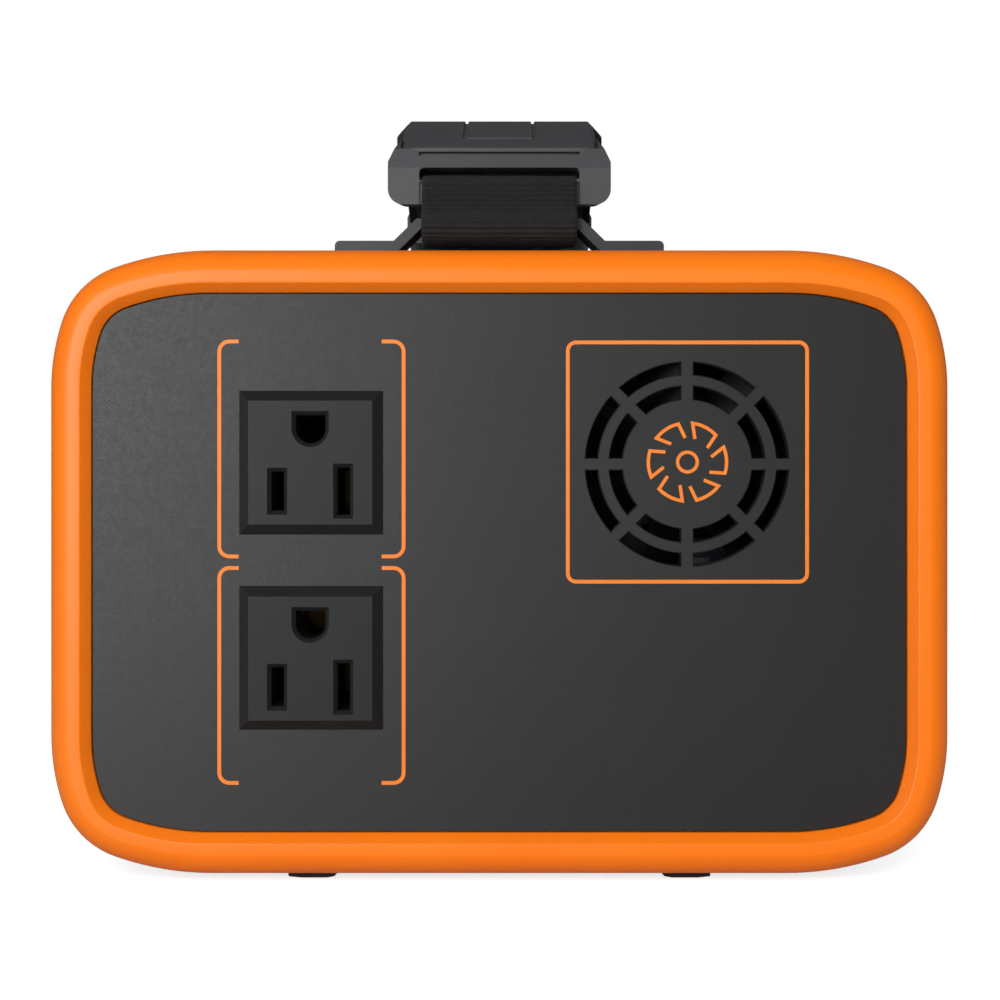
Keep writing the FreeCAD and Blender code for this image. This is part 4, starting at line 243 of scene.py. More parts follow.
@dataclass(frozen=True)
class WovenYarn(Finish):
    """Polyester webbing yarn: matt twisted filaments with a faint sheen at grazing angles."""

    sheen: float = 0.06

    def relief(self, tree: NodeTree, place: NodeSocket) -> NodeSocket:
        """Filaments twisted round the yarn, a third of a millimetre apart so that they show."""
        stretch = add_node(tree, "Mapping", inputs={"Vector": place, "Scale": (1.0, 0.4, 0.4)})
        fibres = add_node(tree, "TexNoise", inputs={
            "Vector": stretch.outputs["Vector"], "Scale": per_metre(self.grain_mm), "Detail": 4.0,
            "Roughness": 0.75, "Distortion": 0.6})
        return fibres.outputs["Fac"]

    def finish_shader(self, tree: NodeTree, shader: Node) -> None:
        """Adds the fuzz of loose filaments."""
        shader.inputs["Sheen Weight"].default_value = self.sheen
        shader.inputs["Sheen Roughness"].default_value = 0.5


@dataclass(frozen=True)
class ClearSheet(Finish):
    """Clear or frosted transparent sheet."""

    transmission: float = 1.0

    def finish_shader(self, tree: NodeTree, shader: Node) -> None:
        """Lets light through."""
        shader.inputs["Transmission Weight"].default_value = self.transmission


# ABS moulded in colour against a finely etched tool: an even, slightly satin skin.
ORANGE_ABS = Finish(
    "abs_orange_moulded", "FB7D12", "F8770F", roughness=0.42, ior=1.54, specular=0.22, drift_mm=30,
    grain_mm=0.35, relief_mm=0.004)
# The same resin in charcoal with a spark-eroded grain: breaks the softbox into a fine speckle.
CHARCOAL_ABS = SparkErodedPlastic(
    "abs_charcoal_grained", "1A1B1B", "181818", roughness=0.52, ior=1.54, specular=0.42, drift_mm=22,
    grain_mm=0.42, relief_mm=0.018)
# The sleeve's coarser texture: deeper pits, so that it looks duller than the panels.
SLEEVE_ABS = SparkErodedPlastic(
    "abs_sleeve_grained", "1E1F20", "191A1B", roughness=0.55, ior=1.54, specular=0.3, drift_mm=26,
    grain_mm=0.6, relief_mm=0.03)
# Polycarbonate insert, polished tool: smoother and tighter highlights than the panel round it.
RECEPTACLE_PC = Finish(
    "polycarbonate_charcoal_moulded", "1A1B1B", "171818", roughness=0.5, ior=1.585, specular=0.2,
    drift_mm=18, grain_mm=0.3, relief_mm=0.004)
# Glass-filled nylon: dull, with a trace of the filler in the skin.
GRIP_NYLON = SparkErodedPlastic(
    "nylon_glass_filled_moulded", "3E3F41", "38393B", roughness=0.5, ior=1.53, specular=0.35, drift_mm=12,
    grain_mm=0.35, relief_mm=0.012)
# Soft grip rubber: no gloss at all.
GRIP_TPE = Finish(
    "tpe_soft_touch_moulded", "161617", "111112", roughness=0.75, specular=0.3, drift_mm=9, grain_mm=0.3,
    relief_mm=0.02)
# Compression-moulded rubber: dull and slightly mottled.
FOOT_RUBBER = Finish(
    "rubber_black_moulded", "1B1B1C", "151516", roughness=0.8, ior=1.52, specular=0.3, drift_mm=8,
    grain_mm=0.35, relief_mm=0.025)
# Powder coat on pressed steel: rounded orange-peel texture about a third of a millimetre across.
POWDER_COAT = Finish(
    "steel_powder_coated", "2C2E32", "27292D", roughness=0.5, specular=0.4, drift_mm=10, grain_mm=0.5,
    relief_mm=0.02)
# Bright zinc over cold-headed steel: slightly cloudy, fine turning marks.
ZINC_STEEL = BrushedMetal(
    "steel_zinc_plated", "A9ADB2", "8E9297", roughness=0.32, metallic=1.0, drift_mm=3, grain_mm=0.2,
    relief_mm=0.004)
# Cold-rolled strip: long fine lines and a warm grey shine.
NICKEL_STRIP = BrushedMetal(
    "nickel_rolled_strip", "C2BFB4", "AEAB9F", roughness=0.28, metallic=1.0, drift_mm=5, grain_mm=0.2,
    relief_mm=0.003, along=(0.1, 1.0, 1.0))
# Stamped and tinned shells: bright, with lines along the draw.
TINNED_SHELL = BrushedMetal(
    "steel_tinned_stamped", "B4B7BA", "9FA2A5", roughness=0.3, metallic=1.0, drift_mm=4, grain_mm=0.2,
    relief_mm=0.003, along=(1.0, 0.1, 1.0))
# Pressed spring brass with a dull shine, its colour made much darker than bright brass: painted shade for
# its place deep inside a slot, so that it gives no flash there.
BRASS_SPRING = BrushedMetal(
    "brass_pressed_painted_shade", "6E5A34", "5B4A2A", roughness=0.45, metallic=1.0, drift_mm=4, grain_mm=0.2,
    relief_mm=0.003, along=(1.0, 0.1, 1.0))
# Extruded fins: straight die lines along the profile.
ALUMINIUM_SINK = BrushedMetal(
    "aluminium_extruded", "B9BBBD", "A7A9AB", roughness=0.36, metallic=1.0, drift_mm=7, grain_mm=0.25,
    relief_mm=0.005, along=(1.0, 0.06, 1.0))
# Black PBT, its colour made darker than the plastic itself: painted shade, so that the vent reads as a dark
# opening.
FAN_PBT = Finish(
    "pbt_black_painted_shade", "060607", "040405", roughness=0.5, ior=1.55, specular=0.25, drift_mm=9,
    grain_mm=0.3, relief_mm=0.008)
# Black ABS from a polished tool: a soft even sheen.
HOLDER_ABS = Finish(
    "abs_black_moulded", "161718", "101112", roughness=0.5, ior=1.54, drift_mm=9, grain_mm=0.3,
    relief_mm=0.01)
# Heat-shrunk film: glossy and faintly wavy; its navy is made very dark as painted shade for the cells seen
# deep inside the vent.
CELL_WRAP = Finish(
    "pvc_shrink_wrap_navy_painted_shade", "17222E", "131C27", roughness=0.3, ior=1.53, drift_mm=12, grain_mm=1.5,
    relief_mm=0.01)
# The same film in a darker blue over the capacitors' cans.
CAPACITOR_WRAP = Finish(
    "pvc_shrink_sleeve_navy", "1C2233", "161B2A", roughness=0.3, ior=1.53, drift_mm=8, grain_mm=1.2,
    relief_mm=0.01)
# Printed mask over glass cloth: glossy green with the weave just showing.
SOLDER_MASK = Finish(
    "fibreglass_solder_mask", "1C4A36", "17402E", roughness=0.3, ior=1.55, drift_mm=3, grain_mm=0.25,
    relief_mm=0.012)
# Pressed and fired powder: matt and slightly pitted.
FERRITE = Finish(
    "ferrite_sintered", "35322F", "2A2725", roughness=0.6, ior=1.6, drift_mm=5, grain_mm=0.3, relief_mm=0.02)
# Transfer-moulded packages: flat black faces.
EPOXY = Finish(
    "epoxy_moulded", "141415", "0F0F10", roughness=0.55, ior=1.55, drift_mm=4, grain_mm=0.2, relief_mm=0.01)
# Extruded insulation: even red with a soft line of light along it.
LEAD_PVC = Finish(
    "pvc_lead_insulation", "8E1F1C", "7A1815", roughness=0.38, ior=1.53, drift_mm=12, grain_mm=0.8,
    relief_mm=0.01)
# Nylon from a fine tool: tight and dull.
JACK_NYLON = Finish(
    "nylon_black_moulded", "131314", "0E0E0F", roughness=0.45, ior=1.53, drift_mm=6, grain_mm=0.3,
    relief_mm=0.006)
# Moulded silicone: velvety, and lighter than the panel so that the caps stand out.
BUTTON_CHARCOAL = Finish(
    "silicone_charcoal_moulded", "2B2C2E", "252628", roughness=0.6, ior=1.41, specular=0.35, drift_mm=6,
    grain_mm=0.3, relief_mm=0.012)
# The same silicone in the bezel's orange, for the main switch.
BUTTON_ORANGE = Finish(
    "silicone_orange_moulded", "F97614", "F4700F", roughness=0.55, ior=1.41, specular=0.35, drift_mm=6,
    grain_mm=0.3, relief_mm=0.01)
# Pad-printed ink: flat, a touch duller than the moulded orange, with tiny unevenness at the edges.
ORANGE_INK = Finish(
    "ink_orange_pad_printed", "EE8126", "E97A21", roughness=0.5, specular=0.3, drift_mm=5, grain_mm=0.2,
    relief_mm=0.003)
# The same ink in pale grey.
PALE_INK = Finish(
    "ink_pale_pad_printed", "C9CBCC", "BFC1C2", roughness=0.5, specular=0.3, drift_mm=5, grain_mm=0.2,
    relief_mm=0.003)
# Unlit display glass: near black with a clear reflection.
DISPLAY_DARK = Finish(
    "display_glass_unlit", "0B0E10", "080A0C", roughness=0.12, ior=1.52, drift_mm=20, grain_mm=0.4,
    relief_mm=0.0005, roughness_spread=0.02)
# White polycarbonate: bright behind the lens.
WHITE_REFLECTOR = Finish(
    "polycarbonate_white_moulded", "E6E6E2", "DEDED9", roughness=0.35, ior=1.585, drift_mm=14, grain_mm=0.4,
    relief_mm=0.004)
# Cast phosphor: the yellow of diodes that are off.
LED_PHOSPHOR = Finish(
    "led_phosphor_cast", "E3C964", "D8BC52", roughness=0.4, drift_mm=2, grain_mm=0.3, relief_mm=0.01)
# Polished smoked acrylic: darkens the display behind it.
WINDOW_ACRYLIC = ClearSheet(
    "acrylic_smoked_polished", "5B6063", "575C5F", roughness=0.06, ior=1.49, drift_mm=30, grain_mm=2.0,
    relief_mm=0.0005, roughness_spread=0.02)
# Moulded in a sand-blasted tool: spreads the reflector into an even milky strip.
FROSTED_LENS = ClearSheet(
    "polycarbonate_frosted", "E9E8E1", "E2E1DA", roughness=0.5, ior=1.585, drift_mm=14, grain_mm=0.4,
    relief_mm=0.02, transmission=0.35)
# Ribbed polyester webbing: matt black with a slight bloom on the crowns of the ribs.
BLACK_YARN = WovenYarn(
    "polyester_webbing_woven", "131314", "0B0B0C", roughness=0.8, ior=1.57, specular=0.3, drift_mm=4,
    grain_mm=0.35, relief_mm=0.05)


@dataclass(frozen=True)
class Dress:
    """A finish and the record's material slot that it stands for."""

    finish: Finish
    slot: str


CAD_FINISHES: dict[Finish, str] = {
    CHARCOAL_ABS: "ac_panel dc_panel",
    SLEEVE_ABS: "upper_shell lower_shell",
    FAN_PBT: "fan_frame fan_rotor",
    BRASS_SPRING: "upper_contacts lower_contacts",
    CELL_WRAP: "battery_cells",
    HOLDER_ABS: "cell_holders",
    NICKEL_STRIP: "cell_links",
    SOLDER_MASK: "battery_board inverter_board control_board",
    POWDER_COAT: "battery_strap",
    FERRITE: "inverter_transformer",
    ALUMINIUM_SINK: "heatsinks",
    EPOXY: "power_transistors button_switches",
    CAPACITOR_WRAP: "bulk_capacitors",
    DISPLAY_DARK: "display_module",
    WINDOW_ACRYLIC: "display_window",
    TINNED_SHELL: "usb_a_ports usb_c_port",
    JACK_NYLON: "dc_jacks",
    FROSTED_LENS: "lamp_lens",
    WHITE_REFLECTOR: "lamp_reflector",
    LED_PHOSPHOR: "lamp_leds",
    GRIP_NYLON: "grip_core",
    ZINC_STEEL: ("webbing_pins shell_screws bezel_screws fan_screws battery_screws board_screws "
                 "control_screws bracket_screws grip_screws"),
    LEAD_PVC: "ac_leads battery_leads fan_lead",
}


def dress_cad_nodes(finishes: dict[Finish, str]) -> None:
    """Gives each carried-over CAD node its finish.

    Args:
        finishes: the names of the nodes, separated by spaces, by their finish.
    """
    for finish, names in finishes.items():
        for name in names.split():
            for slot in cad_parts[name].material_slots:
                slot.material = finish.material()
            log.info("dressed %s in %s", name, finish.name)


# ---- meshes ----
def placed(name: str, data: ID) -> Object:
    """Puts a mesh, lamp or camera into the scene."""
    made = bpy.data.objects.new(name, data)
    bpy.context.scene.collection.objects.link(made)
    return made


def new_piece(name: str, mesh: Mesh, body: Body, dress: Dress,
              stands_for: Sequence[str] = (), crease_deg: float | None = 32.0) -> Object:
    """Makes a mesh into a piece of the model.

    Args:
        name: the piece's name.
        mesh: its mesh, in metres in the frame.
        body: the body it rides on.
        dress: its finish and slot.
        stands_for: the CAD nodes that it replaces.
        crease_deg: edges sharper than this stay crisp, or None to keep those that the mesh marks.

    Returns:
        The new object.
    """
    mesh.materials.clear()
    mesh.materials.append(dress.finish.material())
    mesh.polygons.foreach_set("use_smooth", [True] * len(mesh.polygons))
    if crease_deg is not None:
        mesh.set_sharp_from_angle(angle=math.radians(crease_deg))
    made = placed(name, mesh)
    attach(made, body.value)
    if stands_for:
        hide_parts(*stands_for)
    log.info("made %s with %d faces", name, len(mesh.polygons))
    return made


def mesh_of(name: str, points: Sequence[Sequence[float]], faces: Sequence[Sequence[int]]) -> Mesh:
    """Mesh from points and faces, with its faces turned outwards."""
    mesh = bpy.data.meshes.new(name)
    mesh.from_pydata([tuple(p) for p in points], [], faces)
    solid = bmesh.new()
    solid.from_mesh(mesh)
    bmesh.ops.recalc_face_normals(solid, faces=solid.faces)
    solid.to_mesh(mesh)
    solid.free()
    return mesh


def lean_top(solid: bmesh.types.BMesh, lean_mm: float) -> None:
    """Lowers the outer top edge of a grip pad, so that its top leans outwards and down.

    Args:
        solid: the pad's mesh, in millimetres.
        lean_mm: how far the outermost points go down.
    """
    reach = [abs(v.co.x) for v in solid.verts]
    inner, outer = min(reach), max(reach)
    tops = {v for f in solid.faces if f.normal.z > 0.6 for v in f.verts}
    for vert in tops:
        vert.co.z -= lean_mm * (abs(vert.co.x) - inner) / (outer - inner)


def eased_mesh(node: str, ease_mm: float, lean_mm: float = 0.0, steps: int = 3,
               sharp_deg: float = 24.0, crisp_deg: float = 9.0) -> Mesh:
    """Copy of a CAD node's mesh with its sharp edges eased, as a moulding tool leaves them.

    Args:
        node: the CAD node.
        ease_mm: radius of the eased edge, or 0 to keep every edge; finer details stay as they are.
        lean_mm: how far the outer top edge is lowered first, for the grip's pads.
        steps: facets across it.
        sharp_deg: edges sharper than this are eased.
        crisp_deg: edges sharper than this, but not eased, are shaded crisp.

    Returns:
        The new mesh.
    """
    solid = bmesh.new()
    solid.from_mesh(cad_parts[node].data)
    bmesh.ops.scale(solid, vec=Vector((1, 1, 1)) / MM, verts=solid.verts)
    bmesh.ops.remove_doubles(solid, verts=solid.verts, dist=0.002)
    bmesh.ops.dissolve_limit(solid, angle_limit=math.radians(0.4), verts=solid.verts, edges=solid.edges)
    if lean_mm:
        lean_top(solid, lean_mm)
    fine = {v for e in solid.edges if e.calc_length() < ease_mm * 0.65 for v in e.verts}
    sharp = [e for e in solid.edges if len(e.link_faces) == 2 and not fine.intersection(e.verts)
             and e.calc_face_angle(0.0) > math.radians(sharp_deg)]
    eased: set[bmesh.types.BMFace] = set()
    if ease_mm:
        eased = set(bmesh.ops.bevel(solid, geom=sharp, offset=ease_mm, offset_type="OFFSET", segments=steps,
                                    profile=0.5, affect="EDGES", clamp_overlap=True)["faces"])
    for edge in solid.edges:
        plain = not eased.intersection(edge.link_faces)
        edge.smooth = not (plain and edge.calc_face_angle(0.0) > math.radians(crisp_deg))
    bmesh.ops.scale(solid, vec=Vector((MM, MM, MM)), verts=solid.verts)
    mesh = bpy.data.meshes.new(node + "_eased")
    solid.to_mesh(mesh)
    solid.free()
    return mesh


@dataclass
class Easing:
    """How a rigid CAD node is copied with eased edges and dressed."""

    node: str
    body: Body
    dress: Dress
    ease_mm: float
    lean_mm: float = 0.0

    def build(self) -> Object:
        """Makes the eased piece in place of its node."""
        mesh = eased_mesh(self.node, self.ease_mm, self.lean_mm)
        piece = new_piece(self.node + "_dressed", mesh, self.body, self.dress, [self.node], crease_deg=None)
        flatten = piece.modifiers.new("flat faces", "WEIGHTED_NORMAL")
        flatten.keep_sharp = True
        return piece


# ---- bezels ----
@dataclass
class CaseOutline:
    """Outline of the case seen from the front: each corner is three tangent arcs."""

    top_radius: float = 57.1 * MM
    mid_radius: float = 16.9 * MM
    side_radius: float = 41.8 * MM
    top_turn_deg: float = 19.6
    side_turn_deg: float = 18.25
    step_deg: float = 2.0
    straight_steps: int = 8

    def quarter(self, half_width: float, half_height: float) -> list[tuple[Vector, Vector]]:
        """Points and outward directions of one corner, from the top round to the side."""
        first = math.radians(self.top_turn_deg)
        second = math.radians(90 - self.side_turn_deg)
        top_shift, side_shift = self.top_radius - self.mid_radius, self.side_radius - self.mid_radius
        x = (half_width - self.side_radius - top_shift * math.sin(first) + side_shift * math.sin(second))
        z = half_height - self.top_radius
        mid = (x + top_shift * math.sin(first), z + top_shift * math.cos(first))
        side = (mid[0] - side_shift * math.sin(second), mid[1] - side_shift * math.cos(second))
        points = []
        for radius, centre, start, end in ((self.top_radius, (x, z), 0.0, first),
                                           (self.mid_radius, mid, first, second),
                                           (self.side_radius, side, second, math.pi / 2)):
            count = max(2, round(math.degrees(end - start) / self.step_deg))
            for i in range(count + (end == math.pi / 2)):
                turn = start + (end - start) * i / count
                out = Vector((math.sin(turn), 0, math.cos(turn)))
                points.append((Vector((centre[0], 0, centre[1])) + out * radius, out))
        return points

    def ring(self, half_width: float, half_height: float) -> list[tuple[Vector, Vector]]:
        """Points and outward directions all the way round, clockwise from the top."""
        corner = self.quarter(half_width, half_height)
        turned = []
        for sx, sz in ((1, 1), (1, -1), (-1, -1), (-1, 1)):
            flipped = [(Vector((p.x * sx, 0, p.z * sz)), Vector((n.x * sx, 0, n.z * sz))) for p, n in corner]
            turned.append(flipped if sx * sz > 0 else flipped[::-1])
        points: list[tuple[Vector, Vector]] = []
        for run, follower in zip(turned, turned[1:] + turned[:1]):
            points += run
            (a, out), b = run[-1], follower[0][0]
            points += [(a.lerp(b, i / self.straight_steps), out) for i in range(1, self.straight_steps)]
        return points


def eased_path(corners: Sequence[Point2], radius: float, steps: int = 4) -> list[Point2]:
    """Closed polygon with each corner rounded by a short arc.

    Args:
        corners: the corners in order.
        radius: how far from each corner the rounding starts, at most.
        steps: points added per corner.

    Returns:
        The rounded polygon.
    """
    rounded: list[Point2] = []
    for before, here, after in zip(corners[-1:] + corners[:-1], corners, corners[1:] + corners[:1]):
        b, h, a = Vector(before), Vector(here), Vector(after)
        reach = min(radius, (b - h).length * 0.45, (a - h).length * 0.45)
        start, end = h + (b - h).normalized() * reach, h + (a - h).normalized() * reach
        for i in range(steps + 1):
            t = i / steps
            rounded.append(tuple(start * (1 - t) ** 2 + h * 2 * t * (1 - t) + end * t ** 2))
    return rounded


@dataclass
class Bezel:
    """Moulded orange bezel: a section swept round the case outline."""

    face: Face
    node: str
    outline: CaseOutline = field(default_factory=CaseOutline)
    round_width: float = 4.7 * MM
    crease_deg: float = 20.0
    flat_width: float = 2.35 * MM
    slope_width: float = 1.75 * MM
    slope_depth: float = 2.0 * MM
    lip_depth: float = 3.2 * MM
    wall: float = 6.2 * MM
    seat: float = 4.6 * MM
    depth: float = 8.0 * MM
    spigot: float = 3.0 * MM
    round_steps: int = 12
    edge_ease: float = 0.22 * MM

    def section(self) -> list[Point2]:
        """Section as (inset, depth) pairs, closed, from the crease inwards and round the back."""
        crease = math.radians(self.crease_deg)
        radius = self.round_width / (1 - math.sin(crease))
        side_depth = radius * math.cos(crease)
        flat_end = self.round_width + self.flat_width
        opening = flat_end + self.slope_width
        end = self.depth + self.spigot
        corners = [(self.round_width, 0.0), (flat_end, 0.0), (opening, self.slope_depth),
                   (opening, self.lip_depth), (self.wall, self.lip_depth), (self.wall, end),
                   (self.seat, end), (self.seat, self.depth), (0.0, self.depth)]
        eased = eased_path(corners, self.edge_ease)[3:]
        turns = [math.pi / 2 + (crease - math.pi / 2) * i / self.round_steps
                 for i in range(self.round_steps)]
        return eased + [(radius - radius * math.sin(t), side_depth - radius * math.cos(t)) for t in turns]

    def build(self) -> Object:
        """Sweeps the section round the outline."""
        low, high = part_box(self.node)
        middle = (low + high) / 2
        front = low.y if self.face is Face.OUTLETS else high.y
        ring = self.outline.ring((high.x - low.x) / 2, (high.z - low.z) / 2)
        section = self.section()
        points = [Vector((middle.x, front - self.face.value * depth, middle.z)) + at - out * inset
                  for at, out in ring for inset, depth in section]
        n, m = len(section), len(ring)
        faces = [(i * n + j, i * n + (j + 1) % n, ((i + 1) % m) * n + (j + 1) % n, ((i + 1) % m) * n + j)
                 for i in range(m) for j in range(n)]
        return new_piece(self.node + "_dressed", mesh_of(self.node + "_dressed", points, faces), Body.CASE,
                         Dress(ORANGE_ABS, "bezel_abs"), [self.node], crease_deg=15)


# ---- printed marks ----
def stroke(path: Sequence[Point2], width: float, closed: bool = False) -> tuple[list[Point2], int]:
    """Edges of a line of even width.

    Args:
        path: centre line.
        width: line width.
        closed: True if the last point joins the first.

    Returns:
        Left and right edge points in pairs, and the number of pairs.
    """
    pairs: list[Point2] = []
    count = len(path)
    for i, here in enumerate(path):
        before = path[i - 1] if i or closed else here
        after = path[(i + 1) % count] if i + 1 < count or closed else here
        a, h, b = Vector(before), Vector(here), Vector(after)
        into, out = (h - a), (b - h)
        into = (into if into.length > 0 else out).normalized()
        out = (out if out.length > 0 else into).normalized()
        middle = (into + out).normalized()
        side = Vector((-middle.y, middle.x))
        reach = width / 2 / max(0.4, side.dot(Vector((-into.y, into.x))))
        pairs += [tuple(h + side * reach), tuple(h - side * reach)]
    return pairs, count


def rounded_run(corners: Sequence[Point2], radius: float, closed: bool, steps: int = 10) -> list[Point2]:
    """Path through corners, each turned on a true arc of the given radius.

    Args:
        corners: corners in order.
        radius: turning radius.
        closed: True for a loop; an open run keeps its two ends.
        steps: points per quarter turn.

    Returns:
        The path.
    """
    path: list[Point2] = []
    count = len(corners)
    for i, here in enumerate(corners):
        if not closed and i in (0, count - 1):
            path.append(here)
            continue
        h = Vector(here)
        u = (Vector(corners[i - 1]) - h).normalized()
        v = (Vector(corners[(i + 1) % count]) - h).normalized()
        half = math.acos(max(-1.0, min(1.0, u.dot(v)))) / 2
        centre = h + (u + v).normalized() * (radius / math.sin(half))
        start, end = h + u * (radius / math.tan(half)) - centre, h + v * (radius / math.tan(half)) - centre
        sweep = start.angle_signed(end)
        for k in range(steps + 1):
            turn = -sweep * k / steps
            path.append((centre.x + start.x * math.cos(turn) - start.y * math.sin(turn),
                         centre.y + start.x * math.sin(turn) + start.y * math.cos(turn)))
    return path


def circle(centre: Point2, radius: float, steps: int) -> list[Point2]:
    """Points round a circle, clockwise from the top."""
    turns = [2 * math.pi * i / steps for i in range(steps)]
    return [(centre[0] + radius * math.sin(turn), centre[1] + radius * math.cos(turn)) for turn in turns]


def rectangle(centre: Point2, half_x: float, half_z: float) -> list[Point2]:
    """Corners of an upright rectangle, clockwise from the top left."""
    return [(centre[0] + sx * half_x, centre[1] + sz * half_z)
            for sx, sz in ((-1, 1), (1, 1), (1, -1), (-1, -1))]


@dataclass
class InkLayer:
    """Collects printed strokes on one flat face and makes them into one thin piece."""

    name: str
    face: Face
    surface: float
    dress: Dress
    thickness: float = 0.04 * MM
    points: list[Vector] = field(default_factory=list)
    faces: list[tuple[int, ...]] = field(default_factory=list)

    def add(self, path: Sequence[Point2], width: float, closed: bool = False) -> None:
        """Adds one line of ink."""
        pairs, count = stroke(path, width, closed)
        base = len(self.points)
        top = self.surface + self.face.value * self.thickness
        for x, z in pairs:
            self.points += [Vector((x, self.surface, z)), Vector((x, top, z))]
        for i in range(count if closed else count - 1):
            a, b = base + 4 * i, base + 4 * ((i + 1) % count)
            self.faces += [(a + 1, b + 1, b + 3, a + 3), (a, a + 2, b + 2, b),
                           (a, b, b + 1, a + 1), (a + 2, a + 3, b + 3, b + 2)]
        if not closed:
            last = base + 4 * (count - 1)
            self.faces += [(base, base + 1, base + 3, base + 2), (last, last + 2, last + 3, last + 1)]

    def build(self) -> Object:
        """Makes the piece."""
        return new_piece(self.name, mesh_of(self.name, self.points, self.faces), Body.CASE, self.dress)


@dataclass
class OutletFacePrint:
    """Orange print of the outlet face: two square brackets per outlet, the vent's frame and its fan sign."""

    line: float = 0.73 * MM
    thin_line: float = 0.65 * MM
    bracket_out: Point2 = (18.1 * MM, 18.2 * MM)     # outer edge from the outlet's centre, left and right
    bracket_half_height: float = 21.1 * MM
    bracket_arms: Point2 = (4.1 * MM, 4.6 * MM)      # left and right
    bracket_turn: float = 1.95 * MM
    upper_shift: float = 2.65 * MM                   # middle of the brackets above the outlet's own
    lower_shift: float = -3.4 * MM
    frame_half: float = 23.45 * MM
    rise: float = 0.4 * MM                           # frame and sign stand this far above the fan's middle
    frame_turn: float = 1.6 * MM
    sign_radius: float = 7.55 * MM
    sign_ring: float = 1.9 * MM
    sign_turn_deg: float = 30.5
    blades: int = 6
    blade_root: float = 0.62                         # inner end of a blade as a share of the sign's radius
    blade_root_span: Point2 = (-0.22, 0.42)          # edges of a blade at its root and tip, in radians
    blade_tip_span: Point2 = (-0.40, 0.28)
    tip_steps: int = 8
    ring_steps: int = 40

    def brackets(self, ink: InkLayer, node: str, shift: float) -> None:
        """Prints the two brackets round one outlet, shifted up from its centre."""
        low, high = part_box(node)
        x, z = (low.x + high.x) / 2, (low.z + high.z) / 2 + shift
        reach = self.bracket_half_height - self.line / 2
        for side, out, arm in zip((-1, 1), self.bracket_out, self.bracket_arms):
            edge = x + side * (out - self.line / 2)
            tip = x + side * (out - arm)
            corners = [(tip, z + reach), (edge, z + reach), (edge, z - reach), (tip, z - reach)]
            ink.add(rounded_run(corners, self.bracket_turn, closed=False), self.line)

    def vent_middle(self) -> Point2:
        """Middle of the frame and the sign."""
        low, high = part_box("fan_frame")
        return (low.x + high.x) / 2, (low.z + high.z) / 2 + self.rise

    def vent_frame(self, ink: InkLayer) -> None:
        """Prints the square round the vent."""
        half = self.frame_half - self.line / 2
        corners = rectangle(self.vent_middle(), half, half)
        ink.add(rounded_run(corners, self.frame_turn, closed=True), self.line, closed=True)

    def fan_sign(self, ink: InkLayer) -> None:
        """Prints the plain fan sign in the middle of the vent: a ring and open swept blades."""
        x, z = self.vent_middle()
        root, (start, end) = self.sign_radius * self.blade_root, self.blade_tip_span
        tip = [(self.sign_radius, start + (end - start) * i / self.tip_steps)
               for i in range(self.tip_steps + 1)]
        run = [(root, self.blade_root_span[0])] + tip + [(root, self.blade_root_span[1])]
        for blade in range(self.blades):
            turn = 2 * math.pi * blade / self.blades + math.radians(self.sign_turn_deg)
            ink.add([(x + r * math.sin(turn + a), z + r * math.cos(turn + a)) for r, a in run],
                    self.thin_line)
        ink.add(circle((x, z), self.sign_ring, self.ring_steps), self.thin_line, closed=True)

    def build(self) -> None:
        """Prints the whole face."""
        ink = InkLayer("outlet_face_print", Face.OUTLETS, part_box("ac_panel")[0].y,
                       Dress(ORANGE_INK, "bezel_abs"))
        self.brackets(ink, "upper_receptacle", self.upper_shift)
        self.brackets(ink, "lower_receptacle", self.lower_shift)
        self.vent_frame(ink)
        self.fan_sign(ink)
        ink.build()


@dataclass
class ControlFacePrint:
    """Pale print of the control face: a frame round the display and a ring round each button."""

    line: float = 0.6 * MM
    display_margin: float = 3.0 * MM
    display_turn: float = 2.4 * MM
    ring_gap: float = 1.5 * MM
    ring_steps: int = 64
    ray: Point2 = (1.0 * MM, 2.4 * MM)               # ends of a ray, measured out from the ring
    rays: int = 12

    def display_frame(self, ink: InkLayer) -> None:
        """Prints the rounded frame round the display window."""
        low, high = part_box("display_window")
        middle = (low + high) / 2
        corners = rectangle((middle.x, middle.z), (high.x - low.x) / 2 + self.display_margin,
                            (high.z - low.z) / 2 + self.display_margin)
        ink.add(rounded_run(corners, self.display_turn, closed=True), self.line, closed=True)

    def ring(self, ink: InkLayer, node: str) -> tuple[Point2, float]:
        """Prints a ring round one button and returns its centre and radius."""
        low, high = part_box(node)
        centre = (low.x + high.x) / 2, (low.z + high.z) / 2
        radius = max(high.x - low.x, high.z - low.z) / 2 + self.ring_gap
        ink.add(circle(centre, radius, self.ring_steps), self.line, closed=True)
        return centre, radius

    def build(self) -> None:
        """Prints the whole face."""
        ink = InkLayer("control_face_print", Face.CONTROLS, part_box("dc_panel")[1].y,
                       Dress(PALE_INK, "bezel_abs"))
        self.display_frame(ink)
        for node in ("power_button", "ac_button", "dc_button"):
            self.ring(ink, node)
        centre, radius = self.ring(ink, "lamp_button")
        for ends in zip(*(circle(centre, radius + reach, self.rays) for reach in self.ray)):
            ink.add(ends, self.line)
        ink.build()


